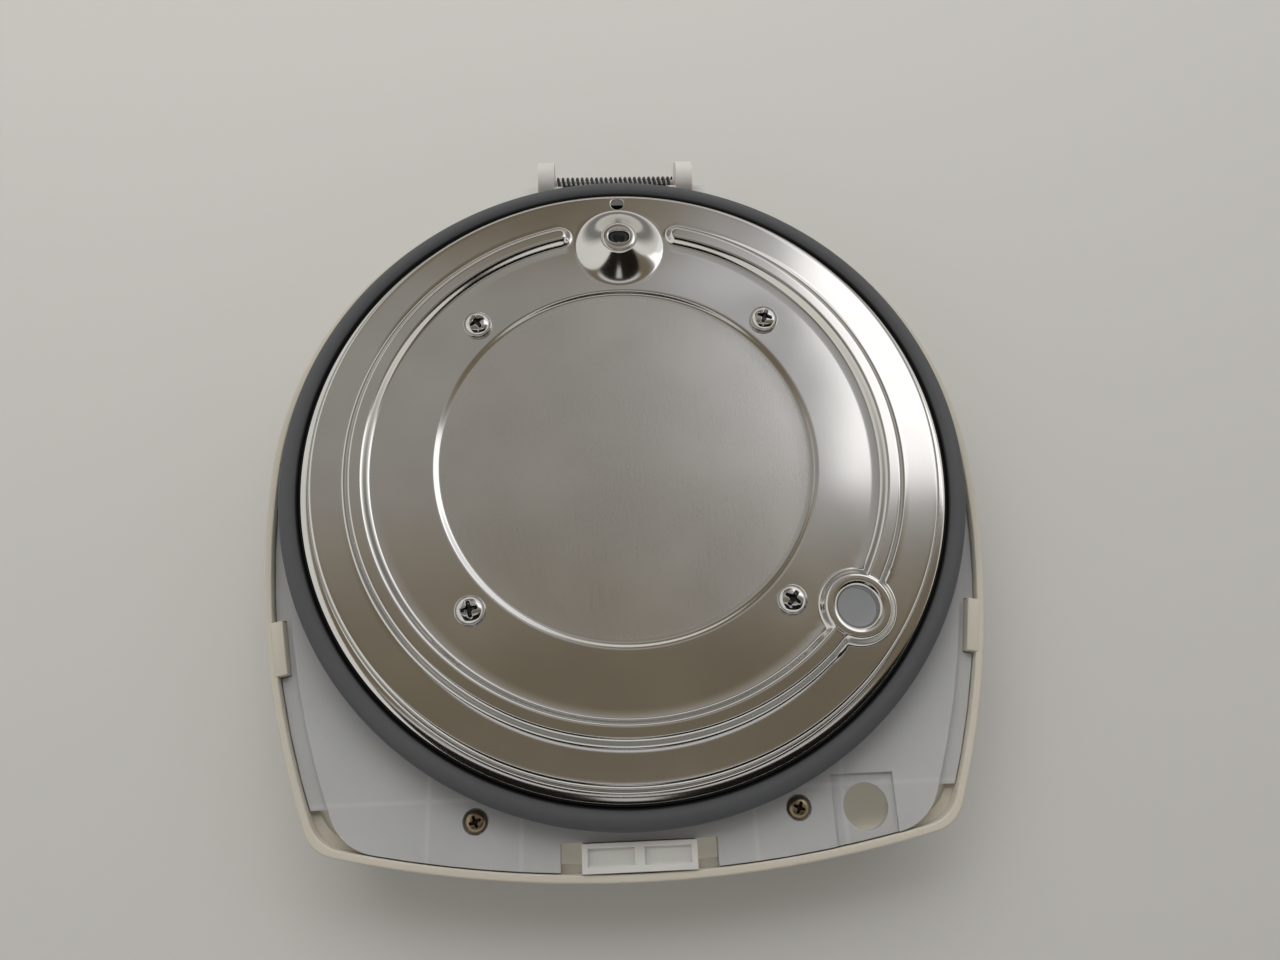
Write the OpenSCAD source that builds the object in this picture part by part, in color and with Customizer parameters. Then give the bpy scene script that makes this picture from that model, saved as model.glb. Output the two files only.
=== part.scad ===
// Rice cooker lid assembly, lying on its outer face with its underside up.
// The origin is on the heat plate's axis, on the face that the lid lies on.
// +Y points to the hinge, and +Z points out of the underside. All sizes are in millimetres.

/* [Lid outline] */
// Radius of the lid frame behind its widest line
rear_r = 97; // [90:0.5:110]
// Radius of the lid frame's two long sides
side_r = 223; // [180:1:280]
// Radius of the lid frame's front edge
front_r = 330; // [240:1:500]
// How much further out than the rear arc the middle of the front edge stands
front_out = 7.2; // [6.6:0.1:12]
// Angle, from +X, where the rear arc runs into the side arc
side_turn = 2.3; // [0:0.1:6]

/* [Outer shell] */
// Height from the outer face to the top plane of the lid frame
frame_z = 24; // [20:0.5:34]
// Wall of the outer shell
shell_wall = 2; // [1.6:0.1:3]
// Gap all round between the frame and the shell
edge_gap = 0.3; // [0.2:0.05:0.6]
// Corner radius of the shell's rim
shell_corner = 10; // [7:0.5:14]
// How far the flat outer face stands in from the rim
crown_in = 17; // [12:0.5:24]
// Depth of the ledge that the frame sits on, below the frame's top plane
ledge_depth = 3.8; // [3:0.1:5]

/* [Lid frame] */
// Thickness of the frame's floor
frame_t = 2; // [1.5:0.1:3]
// Width of the lowered strips along the sides
strip_w = 4.5; // [3.5:0.1:6]
// Drop from the frame's top plane to the lowered strips
strip_drop = 1.8; // [1:0.1:1.9]
// Corner radius of the raised middle at the front
plateau_corner = 14.5; // [10:0.5:20]
// Distance from the middle of the front edge back to the end of the lowered strips
strip_stop = 17.2; // [15:0.1:24]
// Width of the skirt under the frame's edge
skirt_w = 7; // [5:0.5:8]

/* [Heat plate] */
// Height of the plate's flat face above the frame's top plane
plate_rise = 12.5; // [10:0.1:16]
// Sheet thickness of the plate
plate_t = 0.6; // [0.5:0.05:0.8]
// Gap between the plate's flange and the gasket's bead
plate_gap = 0.4; // [0.2:0.1:0.8]
// Width of the plate's flange
flange_w = 2.2; // [1.6:0.1:3]
// Radius of the bend at the plate's rim
rim_bend = 1.5; // [1.2:0.1:1.6]
// Distance of the recessed middle disc's edge in from the plate's edge
disc_in = 38.4; // [38:0.1:48]
// Depth of the recessed middle disc
disc_drop = 0.8; // [0.4:0.1:1.2]
// Width of the slope round the middle disc
disc_slope = 2.1; // [1.5:0.1:3]

/* [Drip rib and steam hole] */
// Distance of the C-shaped rib's middle line in from the plate's edge
rib_in = 16.3; // [15:0.1:18]
// Width of the rib at its foot
rib_foot = 7.5; // [5:0.1:8]
// Width of the rib's flat top
rib_top = 3; // [2:0.1:4]
// Height of the rib
rib_h = 1.8; // [1:0.1:2.5]
// Angle between the rear middle and each end of the rib
rib_gap = 14; // [12:0.5:24]
// Direction of the steam hole from the plate's axis
steam_turn = -36.9; // [-60:0.1:-20]
// Radius of the steam hole
steam_r = 5.1; // [4:0.1:6]
// Radius at the foot of the steam hole's raised ring
steam_foot = 10.3; // [9:0.1:11]
// Radius at the top of the steam hole's raised ring
steam_top = 8; // [7.5:0.1:8.5]
// Radius where the steam hole's lip turns in
steam_lip = 7; // [6.2:0.1:7.4]

/* [Drain cone] */
// Distance of the drain cone and the steam duct in from the plate's edge
duct_side = 22.1; // [21:0.1:24]
// Radius of the cone's foot
cone_r = 13.2; // [11:0.1:13.4]
// Radius of the cone's round tip
cone_tip = 4.3; // [3.8:0.1:5]
// Height of the cone above the plate
cone_h = 5.5; // [4:0.1:8]
// Length of the drain hole in the cone's tip
drain_l = 6; // [5:0.1:6.4]
// Width of the drain hole in the cone's tip
drain_w = 4; // [3:0.1:4.4]
// Distance of the small locating hole in from the plate's edge
locate_side = 6.6; // [6.4:0.1:6.8]
// Radius of the small locating hole
locate_r = 1.95; // [1.2:0.05:2.1]

/* [Gasket] */
// Distance of the gasket's outside in from the frame's rear edge
gasket_side = 2; // [1:0.1:4]
// Width of the gasket's bead
bead_w = 6; // [5:0.1:6.2]
// Height of the gasket's crest above the frame's top plane
bead_h = 7.8; // [7.4:0.1:9]
// Thickness of the gasket's web under the plate's flange
web_t = 1; // [0.8:0.1:1.4]
// Width of the gasket's web under the plate's flange
web_w = 4.6; // [3:0.1:5]

/* [Screws] */
// Distance of each plate screw out from the recessed disc's edge
screw_out = 7.8; // [7.2:0.1:9.6]
// Radius of the plate screws' heads
plate_head_r = 4; // [3.5:0.1:4.4]
// Height of the plate screws' heads
plate_head_h = 2.6; // [2:0.1:3]
// Radius of the holes that the plate screws cut their thread in
plate_pilot_r = 1.7; // [1.5:0.05:2]
// Distance of each frame screw from the middle line
frame_screw_x = 40.3; // [36:0.1:44]
// Distance from the middle of the front edge back to the frame screws
frame_screw_in = 13.1; // [12.2:0.1:13.3]
// Radius of the small screws' heads
small_head_r = 2.8; // [2.5:0.1:3]
// Height of the small screws' heads
small_head_h = 1.9; // [1.6:0.1:2]
// Radius of the holes that the small screws cut their thread in
small_pilot_r = 1.2; // [1.1:0.05:1.4]
// Gap between a screw's shank and its hole
shank_gap = 0.05; // [0.02:0.01:0.1]

/* [Catch] */
// Half of the catch block's width
catch_half = 14.2; // [12:0.1:16]
// Width of each latch window beside the catch block
window_w = 5.2; // [4.8:0.1:7]
// Length of the latch windows, from front to back
window_l = 7.2; // [6.6:0.1:7.6]
// How far the catch block stands above the frame's top plane
catch_proud = 1; // [0.5:0.1:1.5]
// Depth of the catch block's two pockets
pocket_depth = 1.2; // [0.8:0.1:2]

/* [Side clips and front recess] */
// Distance of the side clips from the plate's axis, towards the front
clip_y = 47; // [40:0.5:60]
// Length of each side clip
clip_l = 14.4; // [10:0.1:18]
// Thickness of each side clip
clip_t = 2.4; // [2:0.1:3]
// Distance of the recess's hole from the middle line
recess_x = 57.5; // [56:0.1:59]
// Distance from the middle of the front edge back to the recess's hole
recess_in = 12.7; // [12.2:0.1:13]
// Width of the square recess
recess_w = 16; // [14:0.1:18]
// Radius of the recess's hole
recess_hole_r = 5.75; // [5:0.05:6]
// Depth of the square recess
recess_depth = 1; // [0.5:0.1:1.4]

/* [Hinge] */
// Distance of the hinge axis behind the frame's rear edge
hinge_out = 4.4; // [4:0.1:9]
// Distance of the hinge axis below the frame's top plane
hinge_drop = 3; // [2:0.1:4]
// Radius of the hinge ears
ear_r = 7; // [6:0.1:7.4]
// Thickness of each hinge ear
ear_t = 5.2; // [4:0.1:7]
// Distance between the two ears
ear_gap = 39; // [30:0.5:44]
// Radius of the hinge shaft
shaft_r = 1.5; // [1.25:0.05:2]
// Running clearance of the shaft in the ears
shaft_gap = 0.04; // [0.02:0.01:0.1]
// Wire radius of the hinge spring
wire_r = 0.42; // [0.3:0.01:0.5]
// Number of turns of the hinge spring
spring_turns = 24; // [12:1:30]

/* [Steam duct and cap] */
// Outer radius of the steam duct
duct_r = 9; // [8:0.1:9.4]
// Wall of the steam duct
duct_wall = 2; // [1.5:0.1:2.4]
// Radius of the steam cap's cover
cap_r = 14.6; // [13:0.1:15]
// Gap all round between the steam cap and its well
cap_gap = 0.4; // [0.3:0.05:0.6]
// Height of the steam cap's well in the shell
well_h = 11.5; // [10:0.1:13]
// Gap between the valve ball and its tube
ball_gap = 1.4; // [0.8:0.1:1.8]
// Number of steam slots in the cap's cover
cap_slots = 5; // [3:2:7]

/* [Hidden] */

$fn = 96;
eps = 0.01;
cut = 40;

cream = [0.86, 0.83, 0.75];
frosted = [0.78, 0.79, 0.78];
steel = [0.62, 0.60, 0.57];
grey_rubber = [0.36, 0.37, 0.39];
black_rubber = [0.08, 0.08, 0.08];

front_y = rear_r + front_out;
gasket_r = rear_r - gasket_side;
plate_r = gasket_r - bead_w - plate_gap;
disc_r = plate_r - disc_in;
rib_r = plate_r - rib_in;
duct_y = plate_r - duct_side;
locate_y = plate_r - locate_side;
screw_xy = (disc_r + screw_out) / sqrt(2);
strip_end = front_y - strip_stop;
frame_screw_y = front_y - frame_screw_in;
window_y = front_y - window_l;
recess_y = front_y - recess_in;
hinge_y = rear_r + hinge_out;
hinge_z = frame_z - hinge_drop;

rim_out = shell_wall + edge_gap;
side_c = -(side_r - rear_r) * [cos(side_turn), sin(side_turn)];
front_c = [0, front_r - front_y];
frame_corner = shell_corner - rim_out;
ledge_z = frame_z - ledge_depth;
ledge_in = shell_wall * 2 + edge_gap;
floor_z = frame_z - frame_t;
plate_z = frame_z + plate_rise;
disc_z = plate_z - disc_drop;
flange_z = frame_z + bead_h - 0.8;
web_z = flange_z - plate_t - web_t;
seat_z = web_z;
seat_out = plate_r - 0.1;
seat_in = seat_out - 8.5;
steam_h = rib_h + 0.2;
steam_c = rib_r * [cos(steam_turn), sin(steam_turn)];
boss_r = 5;
shell_boss_r = 4;
ear_half = ear_gap / 2;
ear_end = ear_half + ear_t;
foot_half = ear_end + 4.8;
foot_in = ear_half - 2.5;
foot_y = rear_r + 1.6;
foot_start = rear_r - 5;
bracket_z = floor_z - 4;
bracket_y = duct_y + duct_r + 0.5;
bracket_screw_x = 12;
bracket_screw_y = seat_in + 3.3;
hinge_notch_z = hinge_z - ear_r - 0.6;
spring_r = shaft_r + 0.2 + wire_r;
spring_half = ear_half - 0.4 - wire_r;
leg_l = 4;
duct_in = duct_r - duct_wall;
seal_t = 1;
duct_flange_t = 1.5;
duct_bottom = well_h - 2;
well_r = cap_r + cap_gap;
cover_z = 0.3;
cover_t = 1.4;
cover_rim = 1.5;
base_z = cover_z + cover_t + cover_rim;
base_t = 1.4;
spigot_r = duct_in - 0.4;
spigot_in = spigot_r - 2;
spigot_top = well_h + 2.5;
ball_r = spigot_in - ball_gap;
valve_seat_r = ball_r * 0.75;
ball_z = base_z + base_t + sqrt(ball_r * ball_r - valve_seat_r * valve_seat_r) + 0.03;

// Levels of the shell's outside, from its outer face to its rim: height as a share of the frame
// plane's height, and inset as a share of crown_in
crown = [[0, 1], [0.03, 0.78], [0.1, 0.52], [0.25, 0.28], [0.5, 0.11], [0.8, 0.02], [1, 0]];

// Points on an arc about c from angle a up to, but not at, angle b
function arc(c, r, a, b, n) = [for (i = [0:n - 1]) let (t = a + (b - a) * i / n) c + r * [cos(t), sin(t)]];

// The front right point where two circles meet
function meet(c1, r1, c2, r2) =
    let (d = norm(c2 - c1), u = (c2 - c1) / d)
    let (m = (d * d + r1 * r1 - r2 * r2) / (2 * d), h = sqrt(r1 * r1 - m * m))
    c1 + m * u + h * [u[1], -u[0]];

function bearing(v) = atan2(v[1], v[0]);

// Right half of the lid's outline: front arc, corner, side arc and rear arc, each tangent to the next,
// moved in from the frame's edge by side_in at the sides and rear and by front_in at the front
function lid_half(side_in, front_in, corner) =
    let (rs = side_r - side_in, rf = front_r - front_in, rr = rear_r - side_in)
    let (p = meet(side_c, rs - corner, front_c, rf - corner))
    let (a = bearing(p - front_c), b = bearing(p - side_c))
    concat(arc(front_c, rf, -90, a, 7), arc(p, corner, a, b, 8), arc(side_c, rs, b, side_turn, 8),
        arc([0, 0], rr, side_turn, 90, 24), [[0, rr]]);

function lid_outline(side_in, front_in, corner) =
    let (h = lid_half(side_in, front_in, corner))
    concat(h, [for (i = [len(h) - 2:-1:1]) [-h[i][0], h[i][1]]]);

// Solid through a stack of like outlines; each level is [height, inset from the frame's edge]
module loft(levels, corner) {
    rings = [for (l = levels) lid_outline(l[1], l[1], corner + max(0, l[1]) * 0.6)];
    n = len(rings[0]);
    top = len(levels) - 1;
    points = [for (k = [0:top]) for (p = rings[k]) [p[0], p[1], levels[k][0]]];
    sides = [for (k = [0:top - 1]) for (i = [0:n - 1]) let (j = (i + 1) % n)
        each [[k * n + i, (k + 1) * n + i, (k + 1) * n + j], [k * n + i, (k + 1) * n + j, k * n + j]]];
    polyhedron(points = points,
        faces = concat([[for (i = [0:n - 1]) i]], sides, [[for (i = [n - 1:-1:0]) top * n + i]]));
}

module slab(z0, z1) {
    translate([0, 0, z0]) linear_extrude(z1 - z0) children();
}

module ring(z0, z1, r_out, r_in) {
    slab(z0, z1) difference() {
        circle(r_out);
        circle(r_in);
    }
}

module each_side() {
    children();
    mirror([1, 0, 0]) children();
}

module plate_screw_places() {
    for (sx = [-1, 1], sy = [-1, 1]) translate([sx * screw_xy, sy * screw_xy, 0]) children();
}

// Where a side clip meets the lid's side arc; X points out of the lid
module clip_place() {
    turn = asin((-clip_y - side_c[1]) / side_r);
    translate([side_c[0], side_c[1], 0]) rotate([0, 0, turn]) translate([side_r, 0, 0]) children();
}

// Pan-head screw with its head's seat at z = 0 and a cross recess
module pan_screw(head_r, head_h, shank_r, shank_l, turn) {
    dome_r = (head_r * head_r + (head_h * 0.75) ^ 2) / (1.5 * head_h);
    recess_l = head_r * 1.1;
    recess_t = head_r * 0.24;
    difference() {
        union() {
            cylinder(h = head_h * 0.25 + eps, r = head_r);
            intersection() {
                translate([0, 0, head_h - dome_r]) sphere(dome_r);
                translate([0, 0, head_h * 0.25]) cylinder(h = head_h, r = head_r);
            }
            translate([0, 0, -shank_l]) cylinder(h = shank_l + eps, r = shank_r);
        }
        for (a = [0, 90]) rotate([0, 0, a + turn])
            translate([-recess_l / 2, -recess_t / 2, head_h * 0.42]) cube([recess_l, recess_t, head_h]);
    }
}

module outer_shell() color(cream) {
    outside = [for (l = crown) [l[0] * (frame_z + 0.3), l[1] * crown_in - rim_out]];
    inside = [for (l = crown) [shell_wall + 0.2 + l[0] * (ledge_z - shell_wall), l[1] * crown_in + shell_wall]];
    difference() {
        union() {
            difference() {
                loft(outside, shell_corner);
                loft(inside, shell_corner);
                slab(ledge_z, frame_z + cut) polygon(lid_outline(-edge_gap, -edge_gap, frame_corner + edge_gap));
            }
            each_side() {
                translate([frame_screw_x, -frame_screw_y, shell_wall]) {
                    cylinder(h = 2 * shell_wall, r1 = shell_boss_r / 2, r2 = shell_boss_r);
                    translate([0, 0, 2 * shell_wall]) cylinder(h = floor_z - 3 * shell_wall, r = shell_boss_r);
                }
                clip_place() translate([-clip_t, -clip_l / 2, ledge_z - 4]) cube([clip_t + 1, clip_l, ledge_depth + 4.5]);
            }
            translate([0, duct_y, shell_wall - 0.5]) cylinder(h = well_h - shell_wall + 0.5, r = well_r + 2);
        }
        each_side() translate([frame_screw_x, -frame_screw_y, floor_z - 12]) cylinder(h = cut, r = small_pilot_r);
        translate([0, duct_y, -1]) cylinder(h = duct_bottom + 1, r = well_r);
        translate([0, duct_y, 0]) cylinder(h = cut, r = duct_r + 0.2);
        translate([-foot_half - 0.5, rear_r - 9, hinge_notch_z]) cube([2 * foot_half + 1, cut, cut]);
    }
}

// The frame's raised middle and its lowered side strips, seen from above
module frame_plan() {
    polygon(lid_outline(strip_w, 0, plateau_corner));
    intersection() {
        polygon(lid_outline(0, 0, frame_corner));
        translate([-cut * 4, -strip_end]) square([cut * 8, cut * 8]);
    }
}

module lid_frame() color(frosted) difference() {
    union() {
        slab(floor_z, frame_z) polygon(lid_outline(strip_w, 0, plateau_corner));
        slab(ledge_z, frame_z - strip_drop) frame_plan();
        ring(floor_z, seat_z, seat_out, seat_in);
        plate_screw_places() translate([0, 0, floor_z]) cylinder(h = disc_z - floor_z, r = boss_r);
        plate_screw_places() translate([0, 0, floor_z]) cylinder(h = plate_z - plate_t - floor_z, r = boss_r - 0.6);
    }
    slab(ledge_z - 1, floor_z) polygon(lid_outline(skirt_w, skirt_w, plateau_corner));
    plate_screw_places() translate([0, 0, floor_z + 1]) cylinder(h = cut, r = plate_pilot_r);
    each_side() {
        translate([frame_screw_x, -frame_screw_y, floor_z - 1]) cylinder(h = cut, r = small_pilot_r + 0.3);
        translate([frame_screw_x, -frame_screw_y, frame_z - 1]) cylinder(h = cut, r = small_head_r + 0.4);
        translate([frame_screw_x, -frame_screw_y, 0]) cylinder(h = floor_z, r = shell_boss_r + 0.3);
        clip_place() translate([-clip_t - 0.3, -clip_l / 2 - 0.3, 0]) cube([cut, clip_l + 0.6, cut]);
        translate([bracket_screw_x, bracket_screw_y, floor_z - 1]) cylinder(h = 7.5, r = small_pilot_r);
    }
    translate([-catch_half - window_w, -window_y - cut, 0]) cube([2 * (catch_half + window_w), cut, cut]);
    translate([-catch_half - 0.3, -window_y - 1, 0]) cube([2 * catch_half + 0.6, 2, floor_z]);
    translate([recess_x, -recess_y, 0]) cylinder(h = cut, r = recess_hole_r);
    translate([recess_x - recess_w / 2 - 0.5, 0.5 * recess_w - recess_y - cut, frame_z - recess_depth])
        cube([recess_w, cut, cut]);
    translate([0, duct_y, 0]) cylinder(h = cut, r = duct_r + 0.2);
    translate([-foot_half - 0.3, foot_start - 0.3, 0]) cube([2 * foot_half + 0.6, cut, cut]);
    translate([-foot_half - 0.3, bracket_y, floor_z - cut]) cube([2 * foot_half + 0.6, cut, cut]);
}

// Height of the cone's outside above the plate, at a distance r from its axis
function cone_rise(r) = cone_h * ((cone_r - r) / (cone_r - cone_tip)) ^ 1.3;

// Solid of the cone's outside, or of its hollow when it is lowered by drop
module cone_body(drop) {
    steps = 10;
    flare = [for (i = [0:steps]) let (r = cone_r - (cone_r - cone_tip) * i / steps) [r, cone_rise(r) - drop]];
    round_r = 0.8;
    tip = [for (a = [30, 60, 90]) [cone_tip - round_r + round_r * cos(a), cone_h - drop - round_r + round_r * sin(a)]];
    edge = [for (p = flare) if (p[1] < cone_h - drop - round_r) p];
    translate([0, duct_y, plate_z]) rotate_extrude()
        polygon(concat([[0, -plate_t - drop]], [[cone_r - drop, -plate_t - drop]],
            [for (p = edge) [p[0] - drop, p[1]]], [for (p = tip) [p[0] - drop, p[1]]], [[0, cone_h - drop]]));
}

module plate_sheet() {
    bend_r = plate_r - flange_w - 0.9 - rim_bend;
    function bend(r) = [for (a = [90:-10:10]) [bend_r + r * cos(a), plate_z - rim_bend + r * sin(a)]];
    over = bend(rim_bend);
    under = bend(rim_bend - plate_t);
    lower = [for (i = [len(under) - 1:-1:0]) under[i]];
    rotate_extrude($fn = 192) polygon(concat(
        [[0, disc_z], [disc_r, disc_z], [disc_r + disc_slope, plate_z]], over,
        [[plate_r - flange_w, flange_z], [plate_r, flange_z], [plate_r, flange_z - plate_t],
            [plate_r - flange_w - plate_t, flange_z - plate_t]], lower,
        [[disc_r + disc_slope, plate_z - plate_t], [disc_r, disc_z - plate_t], [0, disc_z - plate_t]]));
}

// Rounded end of the rib, a hair wider than the rib so that the two cross cleanly
module rib_end() {
    over = 0.02;
    translate([0, rib_r, plate_z - plate_t / 2])
        cylinder(h = rib_h + plate_t / 2, r1 = rib_foot / 2 + over, r2 = rib_top / 2 + over);
}

module drip_rib() {
    section = [[rib_r - rib_foot / 2, -plate_t / 2], [rib_r + rib_foot / 2, -plate_t / 2],
        [rib_r + rib_top / 2, rib_h], [rib_r - rib_top / 2, rib_h]];
    translate([0, 0, plate_z]) rotate([0, 0, 90 + rib_gap])
        rotate_extrude(angle = 360 - 2 * rib_gap, $fn = 192) polygon(section);
    for (side = [-1, 1]) rotate([0, 0, side * rib_gap]) rib_end();
}

module heat_plate() color(steel) difference() {
    union() {
        plate_sheet();
        drip_rib();
        translate([steam_c[0], steam_c[1], plate_z - plate_t / 2])
            cylinder(h = steam_h + plate_t / 2, r1 = steam_foot, r2 = steam_top);
        cone_body(0);
    }
    cone_body(plate_t);
    translate([steam_c[0], steam_c[1], plate_z - 2]) cylinder(h = cut, r = steam_r);
    translate([steam_c[0], steam_c[1], plate_z + 0.3]) cylinder(h = steam_h, r1 = steam_r - 0.2, r2 = steam_lip + 0.3);
    translate([0, locate_y, plate_z - 2]) cylinder(h = cut, r = locate_r);
    plate_screw_places() translate([0, 0, plate_z - 2]) cylinder(h = cut, r = plate_pilot_r + 0.4);
    translate([0, duct_y, plate_z]) intersection() {
        cylinder(h = cut, r = drain_l / 2);
        translate([-drain_l, -drain_w / 2, 0]) cube([2 * drain_l, drain_w, cut]);
    }
}

module lid_gasket() color(grey_rubber) {
    crest_r = bead_w / 2;
    round_z = frame_z + bead_h - crest_r;
    mid_r = gasket_r - crest_r;
    web_in = gasket_r - bead_w - web_w;
    crest = [for (a = [0:15:180]) [mid_r + crest_r * cos(a), round_z + crest_r * sin(a)]];
    rotate_extrude($fn = 192) polygon(concat([[gasket_r - 1.2, frame_z]], crest,
        [[gasket_r - bead_w, web_z + web_t], [web_in, web_z + web_t], [web_in, web_z],
            [gasket_r - bead_w, web_z], [gasket_r - bead_w, frame_z]]));
}

module plate_screws() color(steel) {
    turns = [12, 50, 35, 70];
    for (i = [0:3]) let (sx = i % 2 * 2 - 1, sy = floor(i / 2) * 2 - 1)
        translate([sx * screw_xy, sy * screw_xy, plate_z])
            pan_screw(plate_head_r, plate_head_h, plate_pilot_r - shank_gap, plate_rise - 2, turns[i]);
}

module frame_screws() color([0.35, 0.3, 0.24]) for (side = [-1, 1])
    translate([side * frame_screw_x, -frame_screw_y, frame_z - 1])
        pan_screw(small_head_r, small_head_h, small_pilot_r - shank_gap, 10, 20 + 30 * side);

module catch_block() color([0.86, 0.86, 0.84]) {
    under_z = ledge_z + 0.3;
    top_z = frame_z + catch_proud;
    front = front_y - 0.1;
    pocket_w = catch_half - 2.7;
    difference() {
        translate([-catch_half, -front, under_z]) cube([2 * catch_half, front - window_y - 0.2, top_z - under_z]);
        each_side() translate([1.2, -front + 1.6, top_z - pocket_depth])
            cube([pocket_w, front - window_y - 3, pocket_depth + 1]);
    }
    translate([-catch_half + 0.4, -window_y - 0.3, under_z])
        cube([2 * catch_half - 0.8, 9, floor_z - under_z]);
}

module ear_side() {
    rotate([90, 0, 90]) linear_extrude(ear_t) {
        translate([hinge_y, hinge_z]) circle(ear_r);
        translate([foot_y - 4, bracket_z]) square([hinge_y - foot_y + 4, floor_z - bracket_z]);
    }
}

module hinge_bracket() color([0.84, 0.84, 0.8]) difference() {
    union() {
        translate([-foot_half, bracket_y, bracket_z])
            cube([2 * foot_half, foot_start - bracket_y + 2, floor_z - bracket_z]);
        each_side() {
            translate([foot_in, foot_start, bracket_z]) cube([foot_half - foot_in, foot_y - foot_start, frame_z - bracket_z]);
            translate([ear_half, 0, 0]) ear_side();
        }
    }
    translate([-cut, hinge_y, hinge_z]) rotate([0, 90, 0]) cylinder(h = 2 * cut, r = shaft_r + shaft_gap);
    each_side() {
        translate([ear_end - 1, hinge_y, hinge_z]) rotate([0, 90, 0]) cylinder(h = 2, r = shaft_r + 1.4);
        translate([bracket_screw_x, bracket_screw_y, 0]) cylinder(h = cut, r = small_pilot_r + 0.3);
        translate([ear_half + 0.9, foot_y - 1.9, frame_z - 1]) cube([ear_t - 1.8, 1.1, 2]);
    }
    translate([-ear_half, hinge_y, hinge_z]) rotate([0, 90, 0]) cylinder(h = ear_gap, r = spring_r + wire_r + 0.5);
}

module bracket_screws() color(steel) each_side() translate([bracket_screw_x, bracket_screw_y, bracket_z])
    mirror([0, 0, 1]) pan_screw(small_head_r, small_head_h, small_pilot_r - shank_gap, 9, 0);

module hinge_shaft() color(steel)
    translate([-ear_end, hinge_y, hinge_z]) rotate([0, 90, 0]) cylinder(h = 2 * ear_end, r = shaft_r);

module shaft_rings() color(steel) each_side() translate([ear_end - 0.9, hinge_y, hinge_z])
    rotate([0, 90, 0]) ring(0, 0.7, shaft_r + 1.1, shaft_r);

// Tube of the wire's radius through the given points, with a flat cap at each end
module wire_tube(path, sides) {
    n = len(path);
    function heading(i) = let (d = path[min(i + 1, n - 1)] - path[max(i - 1, 0)]) d / norm(d);
    function across(t) = let (c = cross(t, abs(t[0]) < 0.9 ? [1, 0, 0] : [0, 1, 0])) c / norm(c);
    points = [for (i = [0:n - 1]) let (t = heading(i), u = across(t), v = cross(t, u))
        for (k = [0:sides - 1]) path[i] + wire_r * (cos(360 * k / sides) * u + sin(360 * k / sides) * v)];
    walls = [for (i = [0:n - 2]) for (k = [0:sides - 1]) let (m = (k + 1) % sides, j = i + 1)
        each [[i * sides + k, j * sides + m, i * sides + m], [i * sides + k, j * sides + k, j * sides + m]]];
    polyhedron(points = points, faces = concat([[for (k = [0:sides - 1]) k]], walls,
        [[for (k = [sides - 1:-1:0]) (n - 1) * sides + k]]));
}

module hinge_spring() color([0.2, 0.2, 0.22]) {
    steps = 10;
    total = spring_turns * steps;
    coil = [for (i = [0:total]) let (a = 360 * i / steps)
        [-spring_half + 2 * spring_half * i / total, hinge_y + spring_r * cos(a), hinge_z + spring_r * sin(a)]];
    wire_tube(concat([[-spring_half, hinge_y + spring_r, hinge_z - leg_l]], coil,
        [[spring_half, hinge_y + spring_r, hinge_z + leg_l * 0.4]]), 6);
}

module steam_duct() color(frosted) translate([0, duct_y, 0]) {
    ring(duct_bottom, frame_z + seal_t + eps, duct_r, duct_in);
    ring(frame_z + seal_t, frame_z + seal_t + duct_flange_t, duct_r + 3, duct_in);
}

module duct_upper_seal() color(black_rubber) translate([0, duct_y, 0])
    ring(frame_z, frame_z + seal_t, duct_r + 2.5, duct_r + 0.3);

module duct_lower_seal() color(black_rubber) translate([0, duct_y, 0])
    ring(well_h, well_h + 1.5, duct_r + 2, duct_r);

module drain_valve() color(black_rubber) translate([0, duct_y, plate_z + cone_h - plate_t]) difference() {
    union() {
        translate([0, 0, -4]) cylinder(h = 3.1, r = cone_tip - plate_t - 0.3);
        translate([0, 0, -1]) cylinder(h = 1, r1 = cone_tip - plate_t - 0.4, r2 = cone_tip - plate_t - 1.2);
        translate([0, 0, -5]) cylinder(h = 1, r = cone_tip + 0.7);
    }
    translate([0, 0, -6]) cylinder(h = 5, r = cone_tip - 2.3);
    translate([0, 0, -1.5]) cylinder(h = 2, r1 = 0.6, r2 = 2.2);
    translate([0, 0, -6]) cylinder(h = 6, r = 0.6);
}

module cap_base() color(frosted) translate([0, duct_y, 0]) difference() {
    union() {
        slab(base_z, base_z + base_t) circle(cap_r - 0.8);
        slab(base_z, spigot_top) circle(spigot_r);
    }
    translate([0, 0, base_z - 1]) cylinder(h = cut, r = valve_seat_r);
    translate([0, 0, base_z + base_t]) cylinder(h = spigot_top - base_z - base_t - 1, r = spigot_in);
    ring(spigot_top - 3, spigot_top - 1, spigot_r + 1, spigot_r - 0.6);
}

module cap_cover() color(cream) translate([0, duct_y, 0]) {
    slot_pitch = 4;
    slot_w = 1.6;
    difference() {
        slab(cover_z, cover_z + cover_t) circle(cap_r);
        for (i = [0:cap_slots - 1]) let (x = (i - (cap_slots - 1) / 2) * slot_pitch, l = 16 - abs(x))
            translate([x - slot_w / 2, -l / 2, -1]) cube([slot_w, l, 5]);
    }
    ring(cover_z + cover_t, base_z, cap_r, cap_r - 1.6);
}

module cap_gasket() color(black_rubber) translate([0, duct_y, 0])
    ring(spigot_top - 2.9, spigot_top - 1.1, duct_in - 0.06, spigot_r - 0.6);

module valve_ball() color(steel) translate([0, duct_y, ball_z]) sphere(ball_r);

outer_shell();
lid_frame();
heat_plate();
lid_gasket();
plate_screws();
frame_screws();
catch_block();
hinge_bracket();
bracket_screws();
hinge_shaft();
shaft_rings();
hinge_spring();
steam_duct();
duct_upper_seal();
duct_lower_seal();
drain_valve();
cap_base();
cap_cover();
cap_gasket();
valve_ball();
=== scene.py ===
"""Rice cooker lid lying on its outer face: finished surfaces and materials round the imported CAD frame.

Lengths are in metres. MM turns millimetres into metres.
"""

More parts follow.
